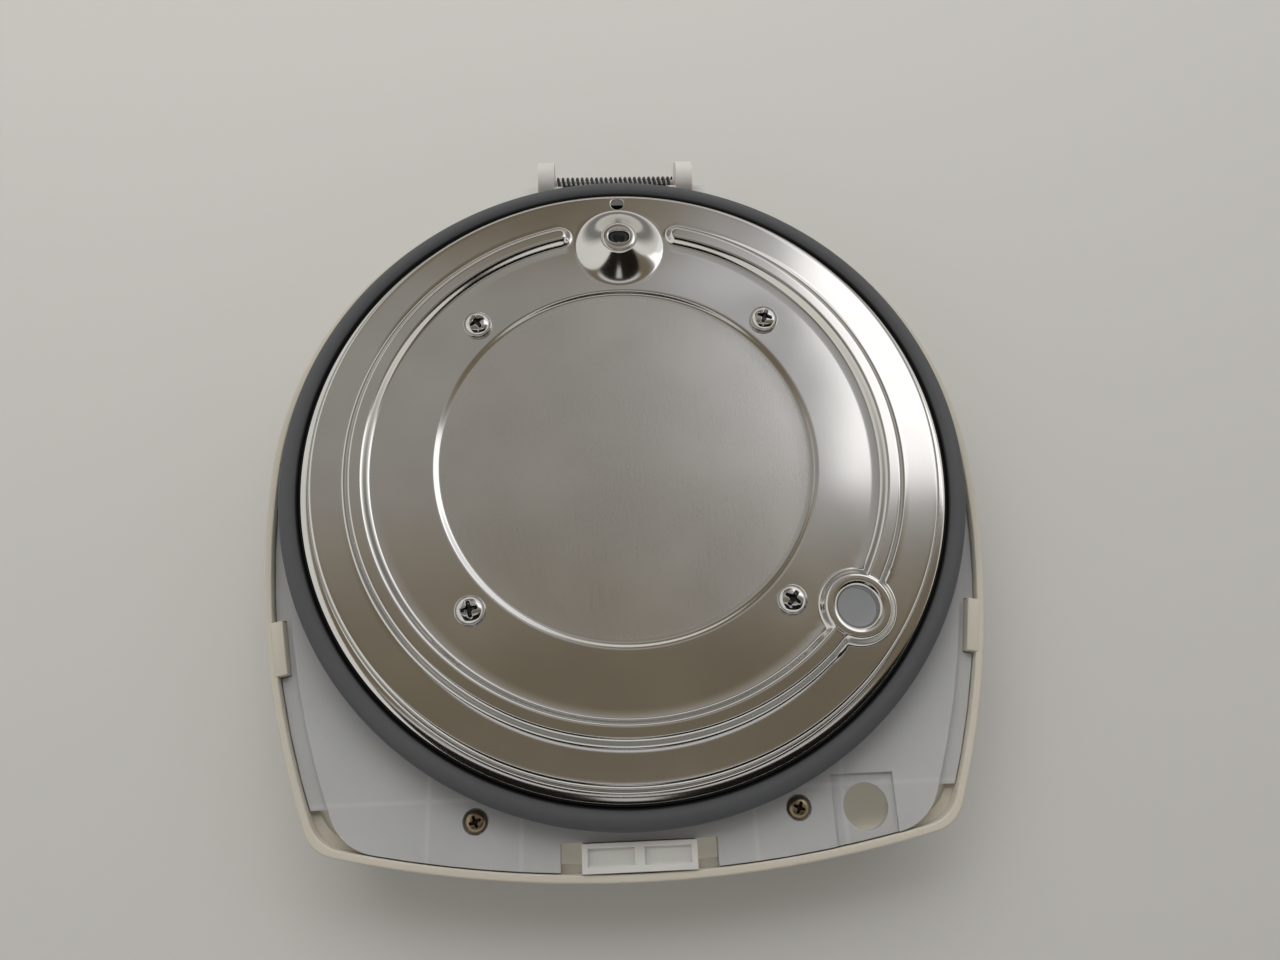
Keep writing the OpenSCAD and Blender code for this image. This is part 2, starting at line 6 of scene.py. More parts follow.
import bmesh
import bpy
import numpy as np
from bpy.props import FloatProperty, FloatVectorProperty, IntProperty, PointerProperty
from mathutils import Matrix, Vector


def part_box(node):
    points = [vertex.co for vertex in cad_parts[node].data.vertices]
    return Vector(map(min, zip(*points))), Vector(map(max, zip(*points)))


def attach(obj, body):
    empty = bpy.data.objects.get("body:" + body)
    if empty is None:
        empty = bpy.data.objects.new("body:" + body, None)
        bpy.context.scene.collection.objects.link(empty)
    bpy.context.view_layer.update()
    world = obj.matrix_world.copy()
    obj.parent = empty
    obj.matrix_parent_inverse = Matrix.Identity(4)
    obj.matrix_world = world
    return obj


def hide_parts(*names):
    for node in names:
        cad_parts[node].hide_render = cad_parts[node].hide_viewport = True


bl_info = {
    "name": "Rice Cooker Lid",
    "version": (1, 0, 0),
    "blender": (4, 5, 0),
    "location": "3D View > Sidebar > Lid",
    "description": "Builds the finished pieces of a rice cooker lid and the stage it lies on",
    "category": "Add Mesh",
}

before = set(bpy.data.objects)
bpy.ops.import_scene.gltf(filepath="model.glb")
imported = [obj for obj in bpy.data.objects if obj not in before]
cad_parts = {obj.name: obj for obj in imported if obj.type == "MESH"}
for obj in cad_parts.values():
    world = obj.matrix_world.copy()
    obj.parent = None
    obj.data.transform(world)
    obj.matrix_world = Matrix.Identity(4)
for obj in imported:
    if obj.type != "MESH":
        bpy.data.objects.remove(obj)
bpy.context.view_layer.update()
MM = 0.001
FULL_TURN = 2 * np.pi
SHARP = np.radians(38)
WARM_WHITE = (1.0, 0.985, 0.95)
BLACK = (0.0, 0.0, 0.0, 1.0)


def cad_box(node):
    """Lowest and highest corner of a CAD node, as arrays."""
    low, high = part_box(node)
    return np.array(low), np.array(high)


PLATE_LOW, PLATE_HIGH = cad_box("heat_plate")
GASKET_LOW, GASKET_HIGH = cad_box("lid_gasket")
PLATE_SCREWS_LOW, PLATE_SCREWS_HIGH = cad_box("plate_screws")
FRAME_SCREWS_LOW, FRAME_SCREWS_HIGH = cad_box("frame_screws")
SHELL_LOW, SHELL_HIGH = cad_box("outer_shell")
SHAFT_LOW, SHAFT_HIGH = cad_box("hinge_shaft")
SPRING_LOW, SPRING_HIGH = cad_box("hinge_spring")
DUCT_LOW, DUCT_HIGH = cad_box("steam_duct")
COVER_LOW, COVER_HIGH = cad_box("cap_cover")

FRAME_Z = GASKET_LOW[2]
PLATE_R = PLATE_HIGH[0]
DUCT_Y = (DUCT_LOW[1] + DUCT_HIGH[1]) / 2


def length(name, description, millimetres):
    """A length property, stored in metres."""
    return FloatProperty(name=name, description=description, default=millimetres * MM, unit="LENGTH",
                         subtype="DISTANCE", precision=5)


def angle(name, description, degrees):
    """An angle property, stored in radians."""
    return FloatProperty(name=name, description=description, default=np.radians(degrees), subtype="ANGLE",
                         unit="ROTATION")


def amount(name, description, default):
    """A plain number that isn't negative."""
    return FloatProperty(name=name, description=description, default=default, min=0.0)


def colour(name, description, default):
    """A linear colour property."""
    return FloatVectorProperty(name=name, description=description, default=default, size=3, subtype="COLOR",
                               min=0.0, max=1.0)


# ---------------------------------------------------------------- settings

class LidPlateSettings(bpy.types.PropertyGroup):
    head_h: length("Screw head height", "Height of the plate screws' heads", 2.6)
    head_r: length("Screw head radius", "Radius of the plate screws' heads", 4.0)
    sheet_t: length("Sheet", "Thickness of the plate's sheet", 0.5)
    disc_in: length("Disc edge", "Distance of the satin disc's edge in from the plate's edge", 38.4)
    disc_drop: length("Disc depth", "Depth of the satin disc below the plate's face", 0.8)
    disc_slope: length("Disc slope", "Width of the slope round the satin disc", 2.1)
    disc_lift: length("Disc lift", "Height that the satin disc rises by towards its edge", 0.09)
    dimple: length("Dimple", "Depth of the shallow dimple round each plate screw", 0.10)
    screw_out: length("Screw line", "Distance of the plate screws out from the disc's edge", 7.8)
    rib_in: length("Rib line", "Distance of the rib's middle line in from the plate's edge", 16.3)
    rib_foot: length("Rib foot", "Width of the rib at its foot", 7.5)
    rib_top: length("Rib top", "Width of the rib's flat top", 2.6)
    rib_h: length("Rib height", "Height of the rib", 1.8)
    rib_gap: angle("Rib gap", "Angle from the rear middle to each end of the rib", 14)
    steam_turn: angle("Steam hole direction", "Angle of the steam hole from +X", -36.9)
    steam_r: length("Steam hole", "Radius of the steam hole", 5.1)
    steam_lip: length("Steam hole lip", "Radius where the steam hole's lip turns in", 7.0)
    steam_top: length("Steam ring top", "Outer radius of the steam ring's top", 7.9)
    steam_foot: length("Steam ring foot", "Radius of the steam ring at its foot", 10.3)
    cone_r: length("Cone foot", "Radius of the drain cone's foot", 13.2)
    cone_tip: length("Cone tip", "Radius of the drain cone's tip", 4.3)
    locate_in: length("Locating hole line", "Distance of the small hole in from the plate's edge", 6.6)
    locate_r: length("Locating hole", "Radius of the small hole", 1.95)
    rim_bend: length("Rim bend", "Radius of the bend at the plate's rim", 1.5)
    flange_w: length("Flange", "Width of the plate's low flange", 2.2)
    rim_lean: length("Rim lean", "How far the rim's foot stands out from its wall", 0.9)


class LidBodySettings(bpy.types.PropertyGroup):
    rear_r: length("Rear radius", "Radius of the frame's rear arc", 97.0)
    side_r: length("Side radius", "Radius of the frame's side arcs", 223.0)
    front_r: length("Front radius", "Radius of the frame's front arc", 330.0)
    front_y: length("Front edge", "Distance of the frame's front edge from the plate's axis", 104.2)
    side_turn: angle("Side turn", "Angle where the rear arc runs into the side arc", 2.3)
    rim_out: length("Rim", "How far the shell's rim stands outside the frame's edge", 2.3)
    rim_t: length("Rim wall", "Thickness of the shell's rim", 2.0)
    rim_corner: length("Rim corner", "Corner radius of the shell's rim", 10.0)
    crown_in: length("Crown", "How far the flat outer face stands in from the rim", 17.0)
    ledge_z: length("Ledge", "Height of the ledge that the frame sits on", FRAME_Z / MM - 3.8)
    ledge_w: length("Ledge width", "Width of the ledge that the frame sits on", 2.0)
    clip_y: length("Clip place", "Distance of the side clips from the plate's axis", 47.0)
    clip_l: length("Clip length", "Length of each side clip", 14.4)
    clip_t: length("Clip thickness", "Thickness of each side clip", 2.4)
    bead_w: length("Gasket bead", "Width of the gasket's bead", 6.0)
    wire_r: length("Spring wire", "Radius of the hinge spring's wire", 0.42)
    turns: IntProperty(name="Spring turns", description="Number of turns of the hinge spring", default=24, min=3)


class LidFinishSettings(bpy.types.PropertyGroup):
    steel: colour("Plate steel", "Colour of the polished stainless plate", (0.67, 0.655, 0.625))
    screw: colour("Screw steel", "Colour of the bright screws", (0.70, 0.69, 0.67))
    dark_screw: colour("Dark screws", "Colour of the small frame screws", (0.33, 0.26, 0.17))
    silicone: colour("Silicone", "Colour of the gasket", (0.085, 0.088, 0.095))
    frosted: colour("Frosted plastic", "Colour of the lid frame", (0.47, 0.475, 0.48))
    milky: colour("Milky plastic", "Colour of the catch block and the hinge bracket", (0.70, 0.70, 0.68))
    shell: colour("Shell plastic", "Colour of the outer shell", (0.60, 0.565, 0.485))
    # painted glow: emission given to the frame under the plate and to the shell's inner faces, in place of light let
    # through the thin plastic
    painted_wall_glow: amount("Wall glow", "Light let through by the thin plastic, as a share of its colour", 0.30)
    spring: colour("Spring steel", "Colour of the hinge spring", (0.10, 0.10, 0.11))
    rubber: colour("Black rubber", "Colour of the small seals", (0.012, 0.012, 0.013))


class LidStageSettings(bpy.types.PropertyGroup):
    floor: colour("Floor", "Colour of the floor", (0.64, 0.635, 0.615))
    key_power: amount("Overhead light", "Power of the soft overhead light, in watts", 13.0)
    ceiling_z: length("Ceiling", "Height of the glowing ceiling card over the floor", 1300)
    wall: amount("Walls", "Brightness of the walls round the table", 0.8)
    window: amount("Window", "Brightness of the bright part of the ceiling card", 1.15)


# ---------------------------------------------------------------- shapes

def ramp(value, low, high):
    """Smooth step: 0 below low, 1 above high, and 3t^2 - 2t^3 between them."""
    t = np.clip((value - low) / (high - low), 0.0, 1.0)
    return t * t * (3.0 - 2.0 * t)


def grid_faces(rows, columns, wrap_rows=False):
    """Quads of a grid of rows by columns that is closed along its rows, and across them with wrap_rows."""
    row = np.arange(rows if wrap_rows else rows - 1)[:, None]
    column = np.arange(columns)[None, :]
    after = (column + 1) % columns
    below = (row + 1) % rows
    return np.stack([row * columns + column, below * columns + column, below * columns + after,
                     row * columns + after], -1).reshape(-1, 4)


def even_turn(segments):
    """Angles spaced evenly round a full turn."""
    return np.linspace(0.0, FULL_TURN, segments, endpoint=False)


def lathe(profile, angles):
    """Points of a profile of (radius, height) pairs carried round the vertical axis, at the given angles."""
    radius, height = np.asarray(profile, float).T
    return np.stack([radius[:, None] * np.cos(angles), radius[:, None] * np.sin(angles),
                     np.repeat(height[:, None], len(angles), 1)], -1)


def arc_points(centre, radius, start, end, steps):
    """Points of (radius, height) on an arc, from the angle start to the angle end, both in degrees."""
    turn = np.radians(np.linspace(start, end, steps))
    return [(centre[0] + radius * np.cos(a), centre[1] + radius * np.sin(a)) for a in turn]


def build(name, points, faces, outward=True):
    """A mesh object from points and faces; a closed one gets its faces turned outwards."""
    mesh = bpy.data.meshes.new(name)
    mesh.from_pydata(np.asarray(points, float).reshape(-1, 3).tolist(), [], [list(f) for f in faces])
    if outward:
        tidy_mesh(mesh)
    mesh.shade_smooth()
    return put(name, mesh)


def put(name, data):
    """A new object in the scene that holds the data."""
    thing = bpy.data.objects.new(name, data)
    bpy.context.scene.collection.objects.link(thing)
    return thing


def tidy_mesh(mesh, merge=1e-7):
    """Merges doubled points, which closes poles and seams, and turns the faces of closed parts outwards."""
    work = bmesh.new()
    work.from_mesh(mesh)
    bmesh.ops.remove_doubles(work, verts=work.verts, dist=merge)
    bmesh.ops.recalc_face_normals(work, faces=work.faces)
    work.to_mesh(mesh)
    work.free()


def join_parts(name, parts):
    """One object from a list of (points, faces) parts."""
    points = [part.reshape(-1, 3) for part, _ in parts]
    starts = np.cumsum([0] + [len(part) for part in points])
    faces = [part_faces + start for (_, part_faces), start in zip(parts, starts)]
    return build(name, np.concatenate(points), np.concatenate(faces))


def cover(mesh, finish):
    """Gives a mesh one finished material."""
    mesh.materials.clear()
    mesh.materials.append(material(finish))


def settle(piece, body, node, finish):
    """Gives a piece its finish and its body, and hides the CAD node that it stands for. The operator is then done."""
    cover(piece.data, finish)
    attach(piece, body)
    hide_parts(node)
    return {"FINISHED"}


def rounded_copy(name, node, width, segments=3, angle=32.0):
    """A copy of a CAD node with its loose triangles merged, its flat faces made whole and its edges rounded."""
    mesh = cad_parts[node].data.copy()
    mesh.name = name
    work = bmesh.new()
    work.from_mesh(mesh)
    bmesh.ops.remove_doubles(work, verts=work.verts, dist=2e-6)
    bmesh.ops.dissolve_limit(work, angle_limit=np.radians(0.6), verts=work.verts, edges=work.edges)
    work.to_mesh(mesh)
    work.free()
    mesh.shade_smooth()
    mesh.set_sharp_from_angle(angle=np.radians(angle))
    piece = put(name, mesh)
    bevel = piece.modifiers.new("edges", "BEVEL")
    bevel.width = width
    bevel.segments = segments
    bevel.limit_method = "ANGLE"
    bevel.angle_limit = np.radians(angle)
    bevel.harden_normals = True
    return piece


def side_centre(s):
    """Centre of the right side arc, which runs into the rear arc."""
    return -(s.side_r - s.rear_r) * np.array([np.cos(s.side_turn), np.sin(s.side_turn)])


def lid_outline(s, side_in, front_in, corner, steps=(26, 14, 22, 70)):
    """The lid's outline, anticlockwise from the front middle: a front arc, a corner, a side arc and the rear arc,
    each tangent to the next, moved in from the frame's edge, then mirrored."""
    side_c = side_centre(s)
    front_c = np.array([0.0, s.front_r - s.front_y])
    side_r, front_r, rear_r = s.side_r - side_in, s.front_r - front_in, s.rear_r - side_in
    gap = front_c - side_c
    d = np.hypot(*gap)
    u = gap / d
    m = (d * d + (side_r - corner) ** 2 - (front_r - corner) ** 2) / (2 * d)
    h = np.sqrt((side_r - corner) ** 2 - m * m)
    knee = side_c + m * u + h * np.array([u[1], -u[0]])
    start = np.arctan2(*(knee - front_c)[::-1])
    finish = np.arctan2(*(knee - side_c)[::-1])

    def arc(centre, radius, a, b, count):
        turn = np.linspace(a, b, count, endpoint=False)
        return centre + radius * np.stack([np.cos(turn), np.sin(turn)], -1)

    half = np.concatenate([
        arc(front_c, front_r, -np.pi / 2, start, steps[0]), arc(knee, corner, start, finish, steps[1]),
        arc(side_c, side_r, finish, s.side_turn, steps[2]), arc(np.zeros(2), rear_r, s.side_turn, np.pi / 2, steps[3])])
    mirrored = half[:0:-1] * [-1, 1]
    return np.concatenate([half, [[0.0, rear_r]], mirrored])


# ---------------------------------------------------------------- the heat plate

# Radii in millimetres and angles in degrees of the grid lines that frame each opening of the plate
STEAM_SIDES = (59.5, 312.1, 334.1)
CONE_SIDES = (52.8, 79.75, 78.3, 101.7)
LOCATE_SIDES = (79.75, 84.9, 87.8, 92.2)
# Share of the satin disc's radius where it starts to rise
RISE_FROM = 0.88


class PlateShape:
    """The pressed plate's surface: heights over its face as a function of place, and a grid that follows them."""

    def __init__(self, s):
        self.s = s
        self.face_z = PLATE_SCREWS_HIGH[2] - s.head_h
        self.flange_z = PLATE_LOW[2] + 0.6 * MM
        self.cone_h = PLATE_HIGH[2] - self.face_z
        self.disc_r = PLATE_R - s.disc_in
        self.rib_r = PLATE_R - s.rib_in
        self.ring_h = s.rib_h + 0.2 * MM
        self.steam = self.rib_r * np.array([np.cos(s.steam_turn), np.sin(s.steam_turn)])
        self.cone = np.array([0.0, DUCT_Y])
        self.locate = np.array([0.0, PLATE_R - s.locate_in])
        self.bend_r = PLATE_R - s.flange_w - s.rim_lean - s.rim_bend

    def height(self, x, y):
        """Height over the plate's face: a step down at the disc; a C-shaped rib of smooth-step flanks, with round
        ends; a ring of the same kind at the steam hole, joined to the rib by the larger of the two heights plus a
        small fillet; a cone that rises as a power of the distance in from its foot; and a round drop at the rim. The
        disc rises a little to its edge as a cube, and each screw sits in a shallow bell-shaped dimple."""
        s = self.s
        r = np.hypot(x, y)
        lift = s.disc_lift * np.clip((r / self.disc_r - RISE_FROM) / (1 - RISE_FROM), 0, 1) ** 3
        disc = -(s.disc_drop - lift) * (1 - ramp(r, self.disc_r, self.disc_r + s.disc_slope))
        off_rear = np.abs(np.arctan2(x, y))
        end = self.rib_r * np.array([np.sin(s.rib_gap), np.cos(s.rib_gap)])
        off_end = np.hypot(np.abs(x) - end[0], y - end[1])
        off_rib = np.where(off_rear > s.rib_gap, np.abs(r - self.rib_r), off_end)
        rib = s.rib_h * (1 - ramp(off_rib, s.rib_top / 2, s.rib_foot / 2))
        ring = self.ring_h * (1 - ramp(np.hypot(x - self.steam[0], y - self.steam[1]), s.steam_top, s.steam_foot))
        reach = 1.1 * MM
        near = np.clip(1 - np.abs(rib - ring) / reach, 0, None)
        both = np.clip(np.minimum(rib, ring) / (0.5 * MM), 0, 1)
        raised = np.maximum(rib, ring) + near * near * reach / 4 * both * (1 - np.maximum(rib, ring) / self.ring_h)
        off_cone = np.hypot(x - self.cone[0], y - self.cone[1])
        share = np.clip((s.cone_r - off_cone) / (s.cone_r - s.cone_tip), 0, 1)
        reach = (self.disc_r + s.screw_out) / np.sqrt(2)
        off_screw = np.hypot(np.abs(x) - reach, np.abs(y) - reach)
        dimple = s.dimple * np.exp(-(off_screw / (6.5 * MM)) ** 2)
        over = np.clip(r - self.bend_r, 0, s.rim_bend * 0.9999)
        drop = s.rim_bend - np.sqrt(s.rim_bend ** 2 - over ** 2)
        return disc + raised + self.cone_h * share ** 1.3 - drop - dimple

    def grid_lines(self):
        """Radii and angles of the plate's main grid, closer together where the surface bends."""
        s = self.s
        flank = s.rib_foot / 2
        marks = [RISE_FROM * self.disc_r, self.disc_r, self.disc_r + s.disc_slope, CONE_SIDES[0] * MM, STEAM_SIDES[0] * MM,
                 self.rib_r - flank, self.rib_r + flank, CONE_SIDES[1] * MM, self.bend_r, LOCATE_SIDES[1] * MM]
        counts = [6, 9, 2, 4, 4, 22, 3, 5, 4]
        radii = np.concatenate([[8 * MM, 24 * MM, 38 * MM]]
                               + [np.linspace(a, b, n, endpoint=False) for a, b, n in zip(marks, marks[1:], counts)]
                               + [[marks[-1]]])
        turns = [72, CONE_SIDES[2], LOCATE_SIDES[2], LOCATE_SIDES[3], CONE_SIDES[3], 108, *STEAM_SIDES[1:], 432]
        steps = [0.33] * 5 + [1.2, 0.36, 1.2]
        angles = np.concatenate([np.linspace(a, b, round((b - a) / step), endpoint=False)
                                 for a, b, step in zip(turns, turns[1:], steps)])
        return radii, np.radians(angles)

    def rim_profile(self):
        """Radius and height of the rim beyond the main grid: the rest of the bend, the wall, a fillet, the flange."""
        s = self.s
        start = np.degrees(np.arccos((LOCATE_SIDES[1] * MM - self.bend_r) / s.rim_bend))
        bend = arc_points((self.bend_r, self.face_z - s.rim_bend), s.rim_bend, start, 6, 8)[1:]
        fillet_r = 1.1 * MM
        wall_r = self.bend_r + s.rim_bend
        fillet = arc_points((wall_r + fillet_r, self.flange_z + fillet_r), fillet_r, 184, 270, 9)
        edge = [(PLATE_R - 0.12 * MM, self.flange_z), (PLATE_R, self.flange_z - 0.1 * MM)]
        return bend + fillet + edge

    def steam_rings(self, bearing):
        """Rings from the ring's foot into the steam hole: the ring's flank, a quarter-round lip, a short wall."""
        s = self.s
        rings = [self.on_plate(self.steam, d, bearing)
                 for d in np.linspace(s.steam_foot + 0.25 * MM, s.steam_lip, 18)]
        inward = s.steam_lip - s.steam_r
        for a in np.radians(np.linspace(8, 90, 11)):
            drop = 0.8 * inward * (1 - np.cos(a))
            rings.append(self.at(self.steam, s.steam_lip - inward * np.sin(a), bearing, self.ring_h - drop))
        for z in (-0.2, -0.9):
            rings.append(self.at(self.steam, s.steam_r, bearing, z * MM))
        return rings

    def cone_rings(self, bearing):
        """Rings from the cone's foot up its flare, over a rounded tip and into an oval hole."""
        s = self.s
        oval = ((np.abs(np.cos(bearing)) / 3.0) ** 2.6 + (np.abs(np.sin(bearing)) / 2.0) ** 2.6) ** (-1 / 2.6) * MM
        rings = [self.on_plate(self.cone, d, bearing) for d in np.linspace(s.cone_r + 0.05 * MM, 4.95 * MM, 24)]
        shoulder = rings[-1][0, 2] - self.face_z
        for a in np.radians(np.linspace(15, 90, 7)):
            z = shoulder + (self.cone_h - shoulder) * np.sin(a)
            rings.append(self.at(self.cone, 4.95 * MM - 1.15 * MM * (1 - np.cos(a)), bearing, z))
        for out, down in ((0.42, 0.0), (0.14, 0.08), (0.0, 0.3), (0.0, 0.75)):
            rings.append(self.at(self.cone, oval + out * MM, bearing, self.cone_h - down * MM))
        return rings

    def locate_rings(self, bearing):
        """Rings round the small punched hole, with a rolled edge."""
        s = self.s
        rings = []
        for out, down in ((0.24, 0.0), (0.12, 0.03), (0.03, 0.12), (0.0, 0.28), (0.0, 0.6)):
            ring = self.on_plate(self.locate, s.locate_r + out * MM, bearing)
            ring[:, 2] -= down * MM
            rings.append(ring)
        return rings

    def at(self, centre, distance, bearing, height):
        """A ring of points at a distance from a centre, at a height over the plate's face."""
        x = centre[0] + distance * np.cos(bearing)
        y = centre[1] + distance * np.sin(bearing)
        return np.stack([x, y, np.broadcast_to(self.face_z + height, x.shape)], -1)

    def on_plate(self, centre, distance, bearing):
        """A ring of points that lies on the plate's surface."""
        ring = self.at(centre, distance, bearing, 0.0)
        ring[:, 2] += self.height(ring[:, 0], ring[:, 1])
        return ring

    def surface(self):
        """Points and faces: a polar grid with three windows, each filled with rings that run from the window's
        border to its own hole."""
        radii, angles = self.grid_lines()
        rows, columns = len(radii), len(angles)
        x = radii[:, None] * np.cos(angles)
        y = radii[:, None] * np.sin(angles)
        z = self.face_z + self.height(x, y)
        points = [np.stack([x, y, z], -1).reshape(-1, 3)]
        rim = lathe(self.rim_profile(), angles)
        points.append(rim.reshape(-1, 3))
        all_rows = rows + len(rim)
        quads = grid_faces(all_rows, columns)
        row, column = quads[:, 0] // columns, quads[:, 0] % columns

        def ring_at(r):
            return int(np.argmin(np.abs(radii - r)))

        def line_at(a):
            return int(np.argmin(np.abs(np.degrees(angles) - a)))

        steam_sides = (STEAM_SIDES[0], self.bend_r / MM, *STEAM_SIDES[1:])
        windows = [(steam_sides, self.steam, self.steam_rings), (CONE_SIDES, self.cone, self.cone_rings),
                   (LOCATE_SIDES, self.locate, self.locate_rings)]
        start = all_rows * columns
        patches = []
        for (r0, r1, a0, a1), centre, rings_of in windows:
            i0, i1, j0, j1 = ring_at(r0 * MM), ring_at(r1 * MM), line_at(a0), line_at(a1)
            quads = quads[~((row >= i0) & (row < i1) & (column >= j0) & (column < j1))]
            row, column = quads[:, 0] // columns, quads[:, 0] % columns
            border = np.concatenate([np.arange(i0, i1) * columns + j0, i1 * columns + np.arange(j0, j1),
                                     np.arange(i1, i0, -1) * columns + j1, i0 * columns + np.arange(j1, j0, -1)])
            outer = points[0][border]
            bearing = np.arctan2(outer[:, 1] - centre[1], outer[:, 0] - centre[0])
            rings = rings_of(bearing)
            steps = [outer + (rings[0] - outer) * t for t in (0.3, 0.55, 0.78)]
            for ring in steps:
                ring[:, 2] = self.face_z + self.height(ring[:, 0], ring[:, 1])
            filled = np.stack(steps + rings)
            points.append(filled.reshape(-1, 3))
            n = len(border)
            index = np.concatenate([border[None], start + np.arange(filled.shape[0] * n).reshape(-1, n)])
            after = np.roll(index, -1, 1)
            patches.append(np.stack([index[:-1], after[:-1], after[1:], index[1:]], -1).reshape(-1, 4))
            start += filled.shape[0] * n
        middle = start
        points.append(np.array([[0.0, 0.0, self.face_z - self.s.disc_drop]]))
        fan = [[middle, j, (j + 1) % columns] for j in range(columns)]
        quads = np.concatenate([quads] + patches)
        return np.concatenate(points), quads.tolist() + fan


def drop_loose(points, faces):
    """Leaves out the points that no face uses."""
    used = np.unique(np.concatenate([np.asarray(f) for f in faces]))
    place = np.full(len(points), -1)
    place[used] = np.arange(len(used))
    return points[used], [place[np.asarray(f)].tolist() for f in faces]


def screw_dome(distance, head_r, head_h):
    """Height of a pan head over its seat: a flattened round that ends in a short upright edge."""
    edge = 0.22
    return head_h * (edge + (1 - edge) * np.sqrt(np.clip(1 - (distance / head_r) ** 2.7, 0, 1)))


def screw_points(centre, seat_z, head_r, head_h, shank_r, shank_l, turn, segments=96):
    """A pan-head screw as a lathe of its profile, with a cross recess: each arm of the cross lowers the head by a
    depth that falls off along the arm, times a smooth step across it."""
    rings = 46
    top = np.linspace(0.0, 1.0, rings) ** 0.8 * head_r * 0.985
    dome = screw_dome(top, head_r, head_h)
    side = [(head_r, head_h * 0.22), (head_r, head_h * 0.06), (head_r * 0.97, 0.0), (shank_r, 0.0),
            (shank_r, -shank_l + shank_r), (0.0, -shank_l)]
    points = lathe(list(zip(top, dome)) + side, even_turn(segments))
    x, y = points[:rings, :, 0], points[:rings, :, 1]
    arm = head_r * 0.56
    deep = head_h * 0.62
    cut = np.zeros_like(x)
    for a in (turn, turn + np.pi / 2):
        along = x * np.cos(a) + y * np.sin(a)
        across = -x * np.sin(a) + y * np.cos(a)
        half = head_r * (0.135 - 0.03 * np.abs(along) / arm)
        fall = deep * (1 - np.clip(np.abs(along) / arm, 0, 1) ** 3)
        cut = np.maximum(cut, fall * (1 - ramp(np.abs(across), half - 0.03 * head_r, half + 0.03 * head_r)))
    pit = deep * 1.05 * (1 - ramp(np.hypot(x, y), 0.16 * head_r, 0.27 * head_r))
    points[:rings, :, 2] -= np.maximum(cut, pit)
    return points + np.array([centre[0], centre[1], seat_z]), grid_faces(len(points), segments)


def read(items, key):
    """The three numbers under key of each item, as rows."""
    values = np.empty(len(items) * 3)
    items.foreach_get(key, values)
    return values.reshape(-1, 3)


def mark(mesh, name, values):
    """Stores a number at each point of a mesh."""
    mesh.attributes.new(name, "FLOAT", "POINT").data.foreach_set("value", values)


def mark_recess_shade(piece, places, seat_z, head_r, head_h):
    """Stores how deep each point lies below its screw's dome, from 0 to 1, as the point attribute recess, which sets
    the painted shade in the cross recess.
    """
    points = read(piece.data.vertices, "co")
    off = np.min([np.hypot(points[:, 0] - x, points[:, 1] - y) for x, y in places], axis=0)
    dome = seat_z + screw_dome(off, head_r, head_h)
    depth = np.clip((dome - points[:, 2]) / (0.45 * head_h), 0, 1) * (off < 0.62 * head_r) * (points[:, 2] > seat_z)
    mark(piece.data, "recess", depth)


# ---------------------------------------------------------------- materials

class Signal:
    """A value in a material's nodes. Arithmetic on it adds Math nodes."""

    def __init__(self, paint, socket):
        self.paint = paint
        self.socket = socket

    def math(self, operation, *values):
        return self.paint.node("ShaderNodeMath", {"operation": operation}, dict(enumerate((self,) + values)))

    def __add__(self, other):
        return self.math("ADD", other)

    __radd__ = __add__

    def __sub__(self, other):
        return self.math("SUBTRACT", other)

    def __rsub__(self, other):
        return self.paint.node("ShaderNodeMath", {"operation": "SUBTRACT"}, {0: other, 1: self})

    def __mul__(self, other):
        return self.math("MULTIPLY", other)

    __rmul__ = __mul__

    def step(self, low, high):
        """Smooth step from 0 at low to 1 at high."""
        return self.paint.node("ShaderNodeMapRange", {"interpolation_type": "SMOOTHSTEP"},
                               {"Value": self, "From Min": low, "From Max": high})


